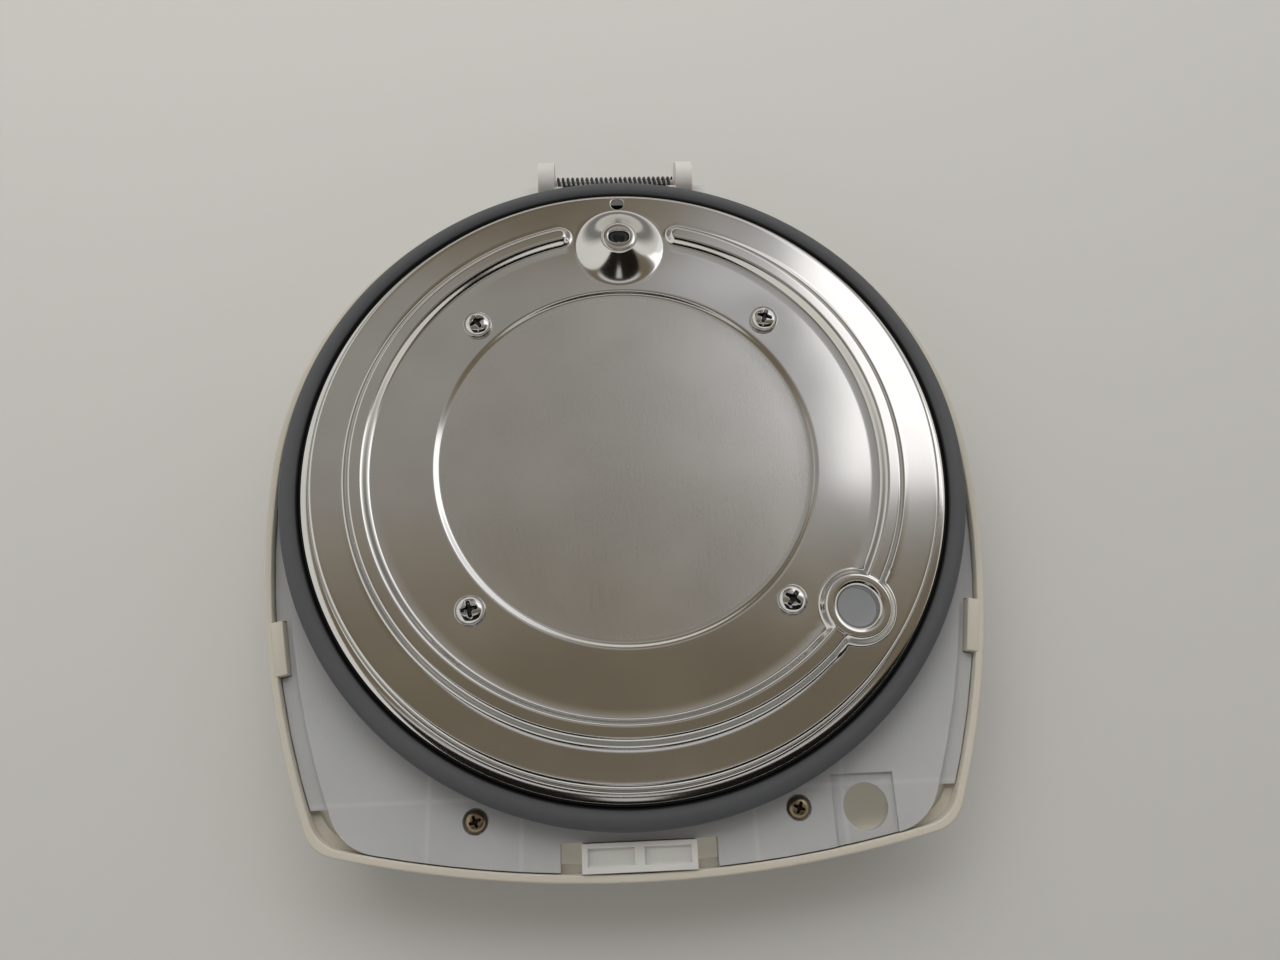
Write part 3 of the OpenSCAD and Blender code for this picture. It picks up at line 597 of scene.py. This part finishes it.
class Paint:
    """A material built round one Principled shader."""

    def __init__(self, name, fixed):
        self.material = bpy.data.materials.new(name)
        self.material.use_nodes = True
        self.tree = self.material.node_tree
        self.shader = self.tree.nodes["Principled BSDF"]
        for key, value in fixed.items():
            self.shader.inputs[key].default_value = value
        place = self.tree.nodes.new("ShaderNodeTexCoord")
        self.place = Signal(self, place.outputs["Object"])

    def node(self, kind, settings, inputs, output=0):
        """Adds a node: its settings first, then the values and links of its sockets."""
        made = self.tree.nodes.new(kind)
        for key, value in settings.items():
            setattr(made, key, value)
        for key, value in inputs.items():
            if isinstance(value, Signal):
                self.tree.links.new(value.socket, made.inputs[key])
            else:
                made.inputs[key].default_value = value
        return Signal(self, made.outputs[output])

    def feed(self, **signals):
        """Links signals to the shader's sockets; an underscore stands for a space in a socket's name."""
        for key, value in signals.items():
            self.tree.links.new(value.socket, self.shader.inputs[key.replace("_", " ")])
        return self.material

    def axis(self, name):
        """One coordinate of the place on the piece."""
        return self.node("ShaderNodeSeparateXYZ", {}, {"Vector": self.place}, "XYZ".index(name))

    def radius(self):
        """Distance of the place on the piece from the lid's vertical axis."""
        x, y = self.axis("X"), self.axis("Y")
        return (x * x + y * y).math("SQRT")

    def stored(self, name):
        """The number stored at each point under name."""
        return self.node("ShaderNodeAttribute", {"attribute_name": name}, {}, 2)

    def stretched(self, scale):
        """The place on the piece, with its axes scaled."""
        return self.node("ShaderNodeMapping", {}, {"Vector": self.place, "Scale": scale})

    def noise(self, scale, detail=2.0, rough=0.5, place=None):
        """Soft noise from 0 to 1."""
        return self.node("ShaderNodeTexNoise", {}, {"Vector": place or self.place, "Scale": scale, "Detail": detail,
                                                    "Roughness": rough})

    def stripe(self, across, middle):
        """A soft line, 1 at its middle, where the signal across has the value middle."""
        return 1.0 - (across - middle).math("ABSOLUTE").step(0.2 * MM, 0.9 * MM)

    def mix(self, factor, first, second):
        """A colour between first and second."""
        kinds = {0: factor, 6: first, 7: second}
        return self.node("ShaderNodeMix", {"data_type": "RGBA"}, kinds, 2)

    def tone(self, level, tint, dark, light):
        """The colour tint, from dark times it where level is 0 to light times it where level is 1."""
        return self.mix(level, rgba(tint, dark), rgba(tint, light))

    def bump(self, height, distance, strength=1.0, below=None):
        """A normal that follows a height signal, on top of the normal below."""
        inputs = {"Height": height, "Distance": distance, "Strength": strength}
        if below is not None:
            inputs["Normal"] = below
        return self.node("ShaderNodeBump", {}, inputs)


def rgba(colour_value, gain=1.0):
    """A property's colour with an alpha, made lighter or darker by gain."""
    return tuple(min(1.0, c * gain) for c in colour_value) + (1.0,)


def plate_material(finish, shape):
    """Stainless sheet: bright annealed outside, with faint rolling lines; satin inside the disc's edge."""
    paint = Paint("polished_steel", {"Metallic": 1.0})
    satin = 1.0 - paint.radius().step(shape.disc_r - 0.9 * MM, shape.disc_r + 0.2 * MM)
    lines = paint.noise(1.0, 3.0, 0.6, paint.stretched((2600.0, 90.0, 200.0)))
    cloud = paint.noise(38.0, 2.0)
    speck = paint.noise(900.0, 1.0)
    tone = paint.tone(cloud.step(0.3, 0.75), finish.steel, 0.95, 1.04)
    rough = 0.08 + cloud * 0.05 + lines * 0.03 + satin * (0.13 + lines * 0.08)
    warp = paint.bump(paint.noise(13.0, 1.0), 0.0008)
    grain = paint.bump(lines * (0.12 + satin * 0.88) + speck * satin * 0.6, 0.0000045, below=warp)
    return paint.feed(Base_Color=tone, Roughness=rough, Normal=grain)


def silicone_material(finish):
    """Grey silicone: dull, with fine dust-like mottling, a faint mould flow, and painted shade: the inner lip is made
    near black where the gap beside the plate lies in shade.
    """
    paint = Paint("grey_silicone", {"Specular IOR Level": 0.35})
    mottle = paint.noise(420.0, 3.0, 0.65)
    broad = paint.noise(24.0, 1.0)
    # painted shade: lip is 1 on the gasket's inner edge, which is darkened to near black as shade in the gap beside the
    # plate
    lip = 1.0 - paint.radius().step(GASKET_HIGH[0] - 5.3 * MM, GASKET_HIGH[0] - 4.7 * MM)
    tone = paint.tone(mottle * 0.6 + broad * 0.4, finish.silicone, 0.86, 1.16)
    tone = paint.mix(lip, tone, rgba(finish.silicone, 0.08))
    rough = 0.46 + mottle * 0.14
    skin = paint.bump(mottle, 0.00003)
    return paint.feed(Base_Color=tone, Roughness=rough, Normal=skin)


def frosted_material(finish):
    """Frosted natural plastic: translucent, with a fine spark texture, soft clouds, painted shade next to the gasket
    and a painted glow under the plate.
    """
    paint = Paint("frosted_plastic", {"Subsurface Weight": 0.2, "Subsurface Scale": 0.002, "Specular IOR Level": 0.35,
                                      "Emission Strength": 1.0})
    cloud = paint.noise(30.0, 2.0)
    spark = paint.noise(1900.0, 2.0)
    side = paint.axis("X").math("ABSOLUTE")
    ribs = paint.stripe(side, 29 * MM) + paint.stripe(side, 52 * MM) + paint.stripe(paint.axis("Y"), -86 * MM)
    # painted shade: the frame is darkened next to the gasket, fading out by 112 mm from the axis
    deep = 1.0 - paint.radius().step(95 * MM, 112 * MM)
    tone = paint.tone(cloud.step(0.25, 0.8), finish.frosted, 0.93, 1.06)
    tone = paint.mix(deep * 0.5, tone, rgba(finish.frosted, 0.75))
    tone = paint.mix(ribs.math("MINIMUM", 1.0) * 0.16, tone, rgba(finish.frosted, 1.5))
    rough = 0.46 + spark * 0.12
    skin = paint.bump(spark, 0.000012)
    # painted glow: the frame under the plate gets an emission colour, standing in for light let through the thin
    # plastic
    under = 1.0 - paint.radius().step(84 * MM, 86 * MM)
    glow = paint.mix(under, BLACK, rgba(finish.frosted, finish.painted_wall_glow))
    return paint.feed(Base_Color=tone, Roughness=rough, Normal=skin, Emission_Color=glow)


def milky_material(finish):
    """Milky moulded plastic, smoother and lighter than the frame."""
    paint = Paint("milky_plastic", {"Subsurface Weight": 0.4, "Subsurface Scale": 0.0025,
                                    "Specular IOR Level": 0.45})
    cloud = paint.noise(60.0, 2.0)
    spark = paint.noise(1500.0, 1.0)
    tone = paint.tone(cloud.step(0.3, 0.8), finish.milky, 0.95, 1.05)
    return paint.feed(Base_Color=tone, Roughness=0.3 + spark * 0.1, Normal=paint.bump(spark, 0.00001))


def shell_material(finish):
    """Cream moulded shell: satin, with a fine spark-eroded texture, and a painted glow on its inner faces."""
    paint = Paint("shell_plastic", {"Subsurface Weight": 0.08, "Subsurface Scale": 0.0015, "Emission Strength": 1.0})
    cloud = paint.noise(16.0, 2.0)
    spark = paint.noise(1300.0, 2.0, 0.6)
    tone = paint.tone(cloud.step(0.3, 0.75), finish.shell, 0.97, 1.03)
    # painted glow: the shell's inner faces get an emission colour, standing in for light let through the thin plastic
    glow = paint.mix(paint.stored("inside"), BLACK, rgba(finish.shell, 0.6 * finish.painted_wall_glow))
    return paint.feed(Base_Color=tone, Roughness=0.3 + spark * 0.12, Normal=paint.bump(spark, 0.000015),
                      Emission_Color=glow)


def metal_material(name, tint, rough, mottle_scale):
    """Bright or plated metal with faint handling marks, and painted shade in the screws' cross recesses."""
    paint = Paint(name, {"Metallic": 1.0})
    mottle = paint.noise(mottle_scale, 3.0, 0.6)
    tone = paint.tone(mottle.step(0.3, 0.8), tint, 0.85, 1.08)
    # painted shade: points deep in the cross recess are darkened towards black
    tone = paint.mix(paint.stored("recess") * 0.93, tone, rgba(tint, 0.03))
    return paint.feed(Base_Color=tone, Roughness=rough + mottle * 0.12, Normal=paint.bump(mottle, 0.000006))


def rubber_material(finish):
    """Black moulded rubber with a slight bloom."""
    paint = Paint("black_rubber", {"Specular IOR Level": 0.5})
    bloom = paint.noise(700.0, 2.0)
    tone = paint.mix(bloom.step(0.4, 0.8), rgba(finish.rubber), rgba(finish.rubber, 2.2))
    return paint.feed(Base_Color=tone, Roughness=0.28 + bloom * 0.2, Normal=paint.bump(bloom, 0.00001))


def floor_material(tint):
    """Plain pale board with the slightest unevenness."""
    paint = Paint("pale_floor", {"Specular IOR Level": 0.25})
    cloud = paint.noise(3.0, 2.0)
    tone = paint.tone(cloud, tint, 0.985, 1.015)
    return paint.feed(Base_Color=tone, Roughness=0.6 + cloud * 0.05)


def ceiling_material(s):
    """The light that the plate mirrors: dim and warm overhead, lighter to the rear, white to the rear right."""
    paint = Paint("ceiling_glow", {"Base Color": (0, 0, 0, 1), "Roughness": 1.0, "Emission Strength": 1.0,
                                   "Specular IOR Level": 0.0})
    x, y = paint.axis("X"), paint.axis("Y")
    window = x.step(0.39, 0.46) * y.step(0.40, 0.47) * (1.0 - y.step(0.95, 1.1) * 0.4)
    far = 1.0 - y.step(0.84, 1.05) * 0.5
    base = (0.18 + 0.17 * y.step(0.05, 0.55) + 0.11 * x.step(-0.1, 0.4) * y.step(0.1, 0.6)
            + 0.24 * x.step(0.04, 0.25) * y.step(0.72, 0.86))
    front = y.step(-0.36, -0.28)
    strip = y.step(-0.34, -0.28) * (1.0 - y.step(-0.20, -0.12)) * (1.0 - x.math("ABSOLUTE").step(0.5, 0.9))
    lamp = (1.0 - x.math("ABSOLUTE").step(0.06, 0.14)) * y.step(-0.85, -0.72) * (1.0 - y.step(-0.5, -0.42))
    level = (base * far + s.window * window) * (front * 0.95 + 0.05) + 0.5 * strip + 0.6 * lamp
    tint = paint.mix(level.step(0.15, 0.45), (1.0, 0.84, 0.60, 1.0), (1.0, 1.0, 1.02, 1.0))
    glow = paint.node("ShaderNodeVectorMath", {"operation": "SCALE"}, {"Vector": tint, "Scale": level})
    return paint.feed(Emission_Color=glow)


def material(name):
    """The finished material of that name, made once."""
    if name not in FINISHED:
        FINISHED[name] = MAKERS[name](bpy.context.scene)
    return FINISHED[name]


FINISHED = {}
MAKERS = {
    "polished_steel": lambda scene: plate_material(scene.lid_finish, PlateShape(scene.lid_plate)),
    "grey_silicone": lambda scene: silicone_material(scene.lid_finish),
    "frosted_plastic": lambda scene: frosted_material(scene.lid_finish),
    "milky_plastic": lambda scene: milky_material(scene.lid_finish),
    "shell_plastic": lambda scene: shell_material(scene.lid_finish),
    "screw_steel": lambda scene: metal_material("screw_steel", scene.lid_finish.screw, 0.06, 500.0),
    "dark_screw": lambda scene: metal_material("dark_screw", scene.lid_finish.dark_screw, 0.25, 700.0),
    "spring_steel": lambda scene: metal_material("spring_steel", scene.lid_finish.spring, 0.28, 900.0),
    "black_rubber": lambda scene: rubber_material(scene.lid_finish),
    "ceiling_glow": lambda scene: ceiling_material(scene.lid_stage),
    "pale_floor": lambda scene: floor_material(scene.lid_stage.floor),
}


# ---------------------------------------------------------------- operators

class LID_OT_heat_plate(bpy.types.Operator):
    """Builds the pressed stainless heat plate."""
    bl_idname = "lid.heat_plate"
    bl_label = "Heat plate"

    def execute(self, context):
        shape = PlateShape(context.scene.lid_plate)
        points, faces = drop_loose(*shape.surface())
        piece = build("heat_plate_pressing", points, faces, outward=False)
        sheet = piece.modifiers.new("sheet", "SOLIDIFY")
        sheet.thickness = context.scene.lid_plate.sheet_t
        sheet.offset = -1.0
        return settle(piece, "lid", "heat_plate", "polished_steel")


class LID_OT_gasket(bpy.types.Operator):
    """Builds the silicone gasket from its closed section, carried round the plate."""
    bl_idname = "lid.gasket"
    bl_label = "Gasket"

    def execute(self, context):
        s = context.scene.lid_body
        outer, crest = GASKET_HIGH[0], GASKET_HIGH[2]
        half = s.bead_w / 2
        middle = outer - half
        web_z = PLATE_LOW[2] - 0.02 * MM
        inner = outer - s.bead_w
        section = [(outer - 1.3 * MM, FRAME_Z + 0.02 * MM), (outer - 0.7 * MM, FRAME_Z + 1.2 * MM),
                   (outer - 0.25 * MM, FRAME_Z + 2.8 * MM)]
        section += arc_points((middle, crest - half), half, -8, 188, 26)
        section += [(inner + 0.05 * MM, web_z + 0.5 * MM), (inner - 0.15 * MM, web_z), (inner - 4.5 * MM, web_z),
                    (inner - 4.5 * MM, web_z - MM), (inner, web_z - MM), (inner + 0.3 * MM, FRAME_Z + 0.02 * MM)]
        points = lathe(section, even_turn(360))
        piece = build("silicone_gasket", points, grid_faces(len(section), 360, wrap_rows=True))
        return settle(piece, "lid", "lid_gasket", "grey_silicone")


class LID_OT_plate_screws(bpy.types.Operator):
    """Builds the four pan-head screws that hold the heat plate."""
    bl_idname = "lid.plate_screws"
    bl_label = "Plate screws"

    def execute(self, context):
        s = context.scene.lid_plate
        reach = PLATE_SCREWS_HIGH[0] - s.head_r
        seat = PLATE_SCREWS_HIGH[2] - s.head_h
        shank = seat - PLATE_SCREWS_LOW[2]
        places = [(-reach, -reach, 12), (reach, -reach, 55), (-reach, reach, 33), (reach, reach, 70)]
        parts = [screw_points((x, y), seat, s.head_r, s.head_h, 1.65 * MM, shank, np.radians(turn))
                 for x, y, turn in places]
        piece = join_parts("plate_screw_set", parts)
        mark_recess_shade(piece, [place[:2] for place in places], seat, s.head_r, s.head_h)
        return settle(piece, "lid", "plate_screws", "screw_steel")


class LID_OT_frame_screws(bpy.types.Operator):
    """Builds the two small dark screws at the front of the frame."""
    bl_idname = "lid.frame_screws"
    bl_label = "Frame screws"

    def execute(self, context):
        head_r = 2.8 * MM
        head_h = 1.9 * MM
        reach = FRAME_SCREWS_HIGH[0] - head_r
        y = (FRAME_SCREWS_LOW[1] + FRAME_SCREWS_HIGH[1]) / 2
        seat = FRAME_SCREWS_HIGH[2] - head_h
        shank = seat - FRAME_SCREWS_LOW[2]
        parts = [screw_points((x, y), seat, head_r, head_h, 1.15 * MM, shank, np.radians(turn))
                 for x, turn in ((-reach, 22), (reach, 66))]
        piece = join_parts("frame_screw_set", parts)
        mark_recess_shade(piece, [(-reach, y), (reach, y)], seat, head_r, head_h)
        return settle(piece, "lid", "frame_screws", "dark_screw")


class LID_OT_outer_shell(bpy.types.Operator):
    """Builds the cream outer shell as one closed skin: outside, rim, inside, and the steam cap's well."""
    bl_idname = "lid.outer_shell"
    bl_label = "Outer shell"

    def execute(self, context):
        s = context.scene.lid_body
        top = SHELL_HIGH[2] - 0.2 * MM
        rows = []

        def outline_row(inset, z):
            corner = s.rim_corner + max(0.0, inset) * 0.6
            plan = lid_outline(s, inset - s.rim_out, inset - s.rim_out, corner)
            rows.append(np.column_stack([plan, np.full(len(plan), z)]))

        def circle_row(radius, z, like):
            bearing = np.arctan2(like[:, 1] - DUCT_Y, like[:, 0])
            rows.append(np.column_stack([radius * np.cos(bearing), DUCT_Y + radius * np.sin(bearing),
                                         np.full(len(like), z)]))

        def crown(share):
            return s.crown_in * (1 - np.sqrt(share)) ** 1.7

        shares = np.linspace(0.0, 1.0, 34) ** 2.2
        for share in shares:
            outline_row(crown(share), share * (top - 0.5 * MM))
        for a in np.radians((25, 50, 72, 90)):
            outline_row(0.5 * MM * (1 - np.cos(a)), top - 0.5 * MM * (1 - np.sin(a)))
        for a in np.radians((90, 65, 35, 0)):
            outline_row(s.rim_t - 0.4 * MM * (1 - np.cos(a)), top - 0.4 * MM * (1 - np.sin(a)))
        outline_row(s.rim_t, s.ledge_z)
        outline_row(s.rim_t + s.ledge_w, s.ledge_z)
        wall = 2.2 * MM
        for share in shares[::-3]:
            outline_row(crown(share) + s.rim_t + s.ledge_w * share, wall + share * (s.ledge_z - wall - 0.3 * MM))
        well_r = COVER_HIGH[0] + 0.4 * MM
        well_z = 11.5 * MM
        bore_r = DUCT_HIGH[0] - 3 * MM + 0.2 * MM
        like = rows[-1]
        for radius, z in ((well_r + 2 * MM, wall), (well_r + 2 * MM, well_z), (bore_r, well_z),
                          (bore_r, well_z - 2 * MM), (well_r, well_z - 2 * MM), (well_r, 0.25 * MM),
                          (well_r + 0.25 * MM, 0.0)):
            circle_row(radius, z, like)
        points = np.stack(rows)
        piece = build("shell_moulding", points, grid_faces(len(rows), len(rows[0]), wrap_rows=True))
        piece.data.set_sharp_from_angle(angle=SHARP)
        self.cut_hinge_gap(piece)
        self.add_details(piece, s)
        self.mark_painted_glow(piece, s)
        return settle(piece, "lid", "outer_shell", "shell_plastic")

    def mark_painted_glow(self, piece, s):
        """Stores 1 at the points of the shell's inner faces, and 0 elsewhere, as the point attribute inside, which
        marks where the shell gets its painted glow.
        """
        points, normals = read(piece.data.vertices, "co"), read(piece.data.vertex_normals, "vector")
        inward = (points[:, :2] * normals[:, :2]).sum(1) < -0.2 * np.hypot(points[:, 0], points[:, 1])
        low = (points[:, 2] > 1.5 * MM) & (points[:, 2] < s.ledge_z - 0.5 * MM)
        inside = low & (inward | (normals[:, 2] > 0.2))
        mark(piece.data, "inside", inside.astype(float))

    def cut_hinge_gap(self, piece):
        """Cuts the gap for the hinge out of the shell's rear wall."""
        bracket_low, bracket_high = cad_box("hinge_bracket")
        low = np.array([bracket_low[0] - 0.5 * MM, 88 * MM, bracket_low[2] - 0.6 * MM])
        high = np.array([bracket_high[0] + 0.5 * MM, 130 * MM, 60 * MM])
        cutter = build("gap_cutter", *box_points(low, high))
        cut = piece.modifiers.new("gap", "BOOLEAN")
        cut.operation = "DIFFERENCE"
        cut.object = cutter
        bake_modifiers(piece)
        bpy.data.objects.remove(cutter)

    def add_details(self, piece, s):
        """Adds the two side clips."""
        work = bmesh.new()
        work.from_mesh(piece.data)
        side_c = side_centre(s)
        turn = np.arcsin((-s.clip_y - side_c[1]) / s.side_r)
        low = np.array([s.side_r - s.clip_t, -s.clip_l / 2, s.ledge_z - 4 * MM])
        high = np.array([s.side_r + 0.9 * MM, s.clip_l / 2, FRAME_Z + 0.5 * MM])
        for side in (1, -1):
            points, faces = box_points(low, high)
            spin = Matrix.Rotation(turn, 4, "Z")
            verts = []
            for p in points:
                v = spin @ Vector(p)
                verts.append(work.verts.new((side * (v.x + side_c[0]), v.y + side_c[1], v.z)))
            made = [work.faces.new([verts[i] for i in face[::side]]) for face in faces]
            edges = {e for f in made for e in f.edges}
            bmesh.ops.bevel(work, geom=list(edges), offset=0.35 * MM, segments=3, affect="EDGES", profile=0.5)
        work.to_mesh(piece.data)
        work.free()
        piece.data.shade_smooth()
        piece.data.set_sharp_from_angle(angle=SHARP)


def box_points(low, high):
    """Corners and outward faces of a box."""
    x, y, z = zip(low, high)
    points = [(x[i], y[j], z[k]) for k in (0, 1) for j in (0, 1) for i in (0, 1)]
    faces = [(0, 2, 3, 1), (4, 5, 7, 6), (0, 1, 5, 4), (2, 6, 7, 3), (0, 4, 6, 2), (1, 3, 7, 5)]
    return points, faces


def bake_modifiers(piece):
    """Applies a piece's modifiers to its mesh."""
    evaluated = piece.evaluated_get(bpy.context.evaluated_depsgraph_get())
    mesh = bpy.data.meshes.new_from_object(evaluated)
    piece.modifiers.clear()
    piece.data = mesh


class LID_OT_lid_frame(bpy.types.Operator):
    """Rounds the edges of the frosted lid frame."""
    bl_idname = "lid.lid_frame"
    bl_label = "Lid frame"

    def execute(self, context):
        piece = rounded_copy("frame_moulding", "lid_frame", 0.3 * MM)
        return settle(piece, "lid", "lid_frame", "frosted_plastic")


class LID_OT_catch_block(bpy.types.Operator):
    """Rounds the edges of the catch block between the latch windows."""
    bl_idname = "lid.catch_block"
    bl_label = "Catch block"

    def execute(self, context):
        piece = rounded_copy("catch_moulding", "catch_block", 0.35 * MM)
        return settle(piece, "lid", "catch_block", "milky_plastic")


class LID_OT_hinge_bracket(bpy.types.Operator):
    """Rounds the edges of the hinge bracket and its two ears."""
    bl_idname = "lid.hinge_bracket"
    bl_label = "Hinge bracket"

    def execute(self, context):
        piece = rounded_copy("bracket_moulding", "hinge_bracket", 0.6 * MM)
        return settle(piece, "lid", "hinge_bracket", "milky_plastic")


class LID_OT_hinge_spring(bpy.types.Operator):
    """Winds the hinge spring: a round wire carried along a helix, with a short leg at each end."""
    bl_idname = "lid.hinge_spring"
    bl_label = "Hinge spring"

    def execute(self, context):
        s = context.scene.lid_body
        axis_y = (SHAFT_LOW[1] + SHAFT_HIGH[1]) / 2
        axis_z = (SHAFT_LOW[2] + SHAFT_HIGH[2]) / 2
        reach = SPRING_HIGH[0] - s.wire_r
        coil_r = SPRING_HIGH[1] - s.wire_r - axis_y
        t = np.linspace(0.0, s.turns * FULL_TURN, s.turns * 24 + 1)
        coil = np.stack([-reach + 2 * reach * t / t[-1], axis_y + coil_r * np.cos(t), axis_z + coil_r * np.sin(t)], -1)
        first = coil[0] + np.array([[0, 0, -4 * MM], [0, 0, -2.2 * MM], [0, 0, -0.7 * MM]])
        last = coil[-1] + np.array([[0, 0, 0.6 * MM], [0, 0, 1.5 * MM]])
        path = np.concatenate([first, coil, last])
        sides = 12
        heading = np.gradient(path, axis=0)
        heading /= np.linalg.norm(heading, axis=1)[:, None]
        across = np.cross(heading, [1.0, 0.0, 0.0])
        across /= np.linalg.norm(across, axis=1)[:, None]
        other = np.cross(heading, across)
        a = even_turn(sides)[None, :, None]
        radii = np.concatenate([[0.0, 0.8], np.ones(len(path) - 4), [0.8, 0.0]])
        circle = np.cos(a) * across[:, None] + np.sin(a) * other[:, None]
        tube = path[:, None] + s.wire_r * radii[:, None, None] * circle
        piece = build("spring_wire", tube, grid_faces(len(path), sides))
        return settle(piece, "hinge", "hinge_spring", "spring_steel")


class LID_OT_steam_cap(bpy.types.Operator):
    """Rounds the edges of the steam cap's cover."""
    bl_idname = "lid.steam_cap"
    bl_label = "Steam cap"

    def execute(self, context):
        piece = rounded_copy("cap_cover_moulding", "cap_cover", 0.25 * MM)
        return settle(piece, "steam_cap", "cap_cover", "shell_plastic")


class LID_OT_inner_pieces(bpy.types.Operator):
    """Gives the turned and hidden CAD pieces their finished materials."""
    bl_idname = "lid.inner_pieces"
    bl_label = "Inner pieces"

    def execute(self, context):
        finishes = {
            "screw_steel": ["hinge_shaft", "shaft_rings", "valve_ball"],
            "dark_screw": ["bracket_screws"],
            "frosted_plastic": ["steam_duct", "cap_base"],
            "black_rubber": ["duct_upper_seal", "duct_lower_seal", "drain_valve", "cap_gasket"],
        }
        for name, nodes in finishes.items():
            for node in nodes:
                cover(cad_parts[node].data, name)
        return {"FINISHED"}


class LID_OT_stage(bpy.types.Operator):
    """Sets up the floor, the soft light and the camera."""
    bl_idname = "lid.stage"
    bl_label = "Stage"

    def execute(self, context):
        s = context.scene.lid_stage
        self.floor(s)
        self.lights(context, s)
        self.camera(context)
        context.scene.view_settings.view_transform = "Standard"
        return {"FINISHED"}

    def floor(self, s):
        half = 1.6
        points, faces = box_points((-half, -half, -0.004), (half, half, 0.0))
        floor = build("floor", points, faces)
        floor.data.materials.append(material("pale_floor"))

    def lights(self, context, s):
        world = bpy.data.worlds.new("room")
        world.use_nodes = True
        tree = world.node_tree
        background = tree.nodes["Background"]
        place = tree.nodes.new("ShaderNodeTexCoord")
        split = tree.nodes.new("ShaderNodeSeparateXYZ")
        rise = tree.nodes.new("ShaderNodeMapRange")
        rise.interpolation_type = "SMOOTHSTEP"
        for key, value in {"From Min": 0.12, "From Max": 0.42, "To Min": 0.22, "To Max": s.wall}.items():
            rise.inputs[key].default_value = value
        tree.links.new(place.outputs["Generated"], split.inputs[0])
        tree.links.new(split.outputs["Z"], rise.inputs["Value"])
        tree.links.new(rise.outputs[0], background.inputs["Strength"])
        background.inputs["Color"].default_value = rgba(WARM_WHITE)
        context.scene.world = world
        self.area("overhead", s.key_power, (1.4, 1.4), (-0.2, 0.75, 1.15), (0.0, 0.0, 0.0), WARM_WHITE, glossy=False)
        points = [(-0.95, -1.5, s.ceiling_z), (-0.95, 1.9, s.ceiling_z), (1.9, 1.9, s.ceiling_z),
                  (1.9, -1.5, s.ceiling_z)]
        ceiling = build("ceiling", points, [(0, 1, 2, 3)], outward=False)
        ceiling.data.materials.append(material("ceiling_glow"))
        ceiling.visible_camera = False

    def area(self, name, power, size, place, target, tint, glossy=True):
        """A rectangular area light at place that faces target."""
        data = bpy.data.lights.new(name, "AREA")
        data.shape = "RECTANGLE"
        data.size, data.size_y = size
        data.energy = power
        data.color = tint
        light = put(name, data)
        light.visible_glossy = glossy
        light.location = place
        light.rotation_euler = (Vector(target) - Vector(place)).to_track_quat("-Z", "Y").to_euler()

    def camera(self, context):
        """A camera above and in front of the lid, rolled a little, with a 24 mm lens."""
        place = Vector((-6.38, -85.24, 253.47)) * MM
        right = Vector((0.99873, -0.04023, 0.03041))
        up = Vector((0.02753, 0.94016, 0.33961))
        back = Vector((-0.04226, -0.33834, 0.94008))
        data = bpy.data.cameras.new("camera")
        data.sensor_width = 36.0
        data.lens = 24.19
        data.clip_start = 0.01
        camera = put("camera", data)
        turn = Matrix((right, up, back)).transposed().to_4x4()
        camera.matrix_world = Matrix.Translation(place) @ turn
        context.scene.camera = camera


class LID_PT_panel(bpy.types.Panel):
    """Lists the lid's pieces and the stage."""
    bl_idname = "LID_PT_panel"
    bl_label = "Rice cooker lid"
    bl_space_type = "VIEW_3D"
    bl_region_type = "UI"
    bl_category = "Lid"

    def draw(self, context):
        for operator in OPERATORS:
            self.layout.operator(operator.bl_idname)


OPERATORS = (LID_OT_heat_plate, LID_OT_gasket, LID_OT_plate_screws, LID_OT_frame_screws, LID_OT_outer_shell,
             LID_OT_lid_frame, LID_OT_catch_block, LID_OT_hinge_bracket, LID_OT_hinge_spring, LID_OT_steam_cap,
             LID_OT_inner_pieces, LID_OT_stage)
SETTINGS = {"lid_plate": LidPlateSettings, "lid_body": LidBodySettings, "lid_finish": LidFinishSettings,
            "lid_stage": LidStageSettings}


def register():
    for cls in (*SETTINGS.values(), *OPERATORS, LID_PT_panel):
        bpy.utils.register_class(cls)
    for name, cls in SETTINGS.items():
        setattr(bpy.types.Scene, name, PointerProperty(type=cls))


def unregister():
    for name in SETTINGS:
        delattr(bpy.types.Scene, name)
    for cls in (LID_PT_panel, *reversed(OPERATORS), *reversed(SETTINGS.values())):
        bpy.utils.unregister_class(cls)


def main():
    register()
    for operator in OPERATORS:
        group, name = operator.bl_idname.split(".")
        getattr(getattr(bpy.ops, group), name)()
    bpy.context.view_layer.update()


if __name__ == "__main__":
    main()
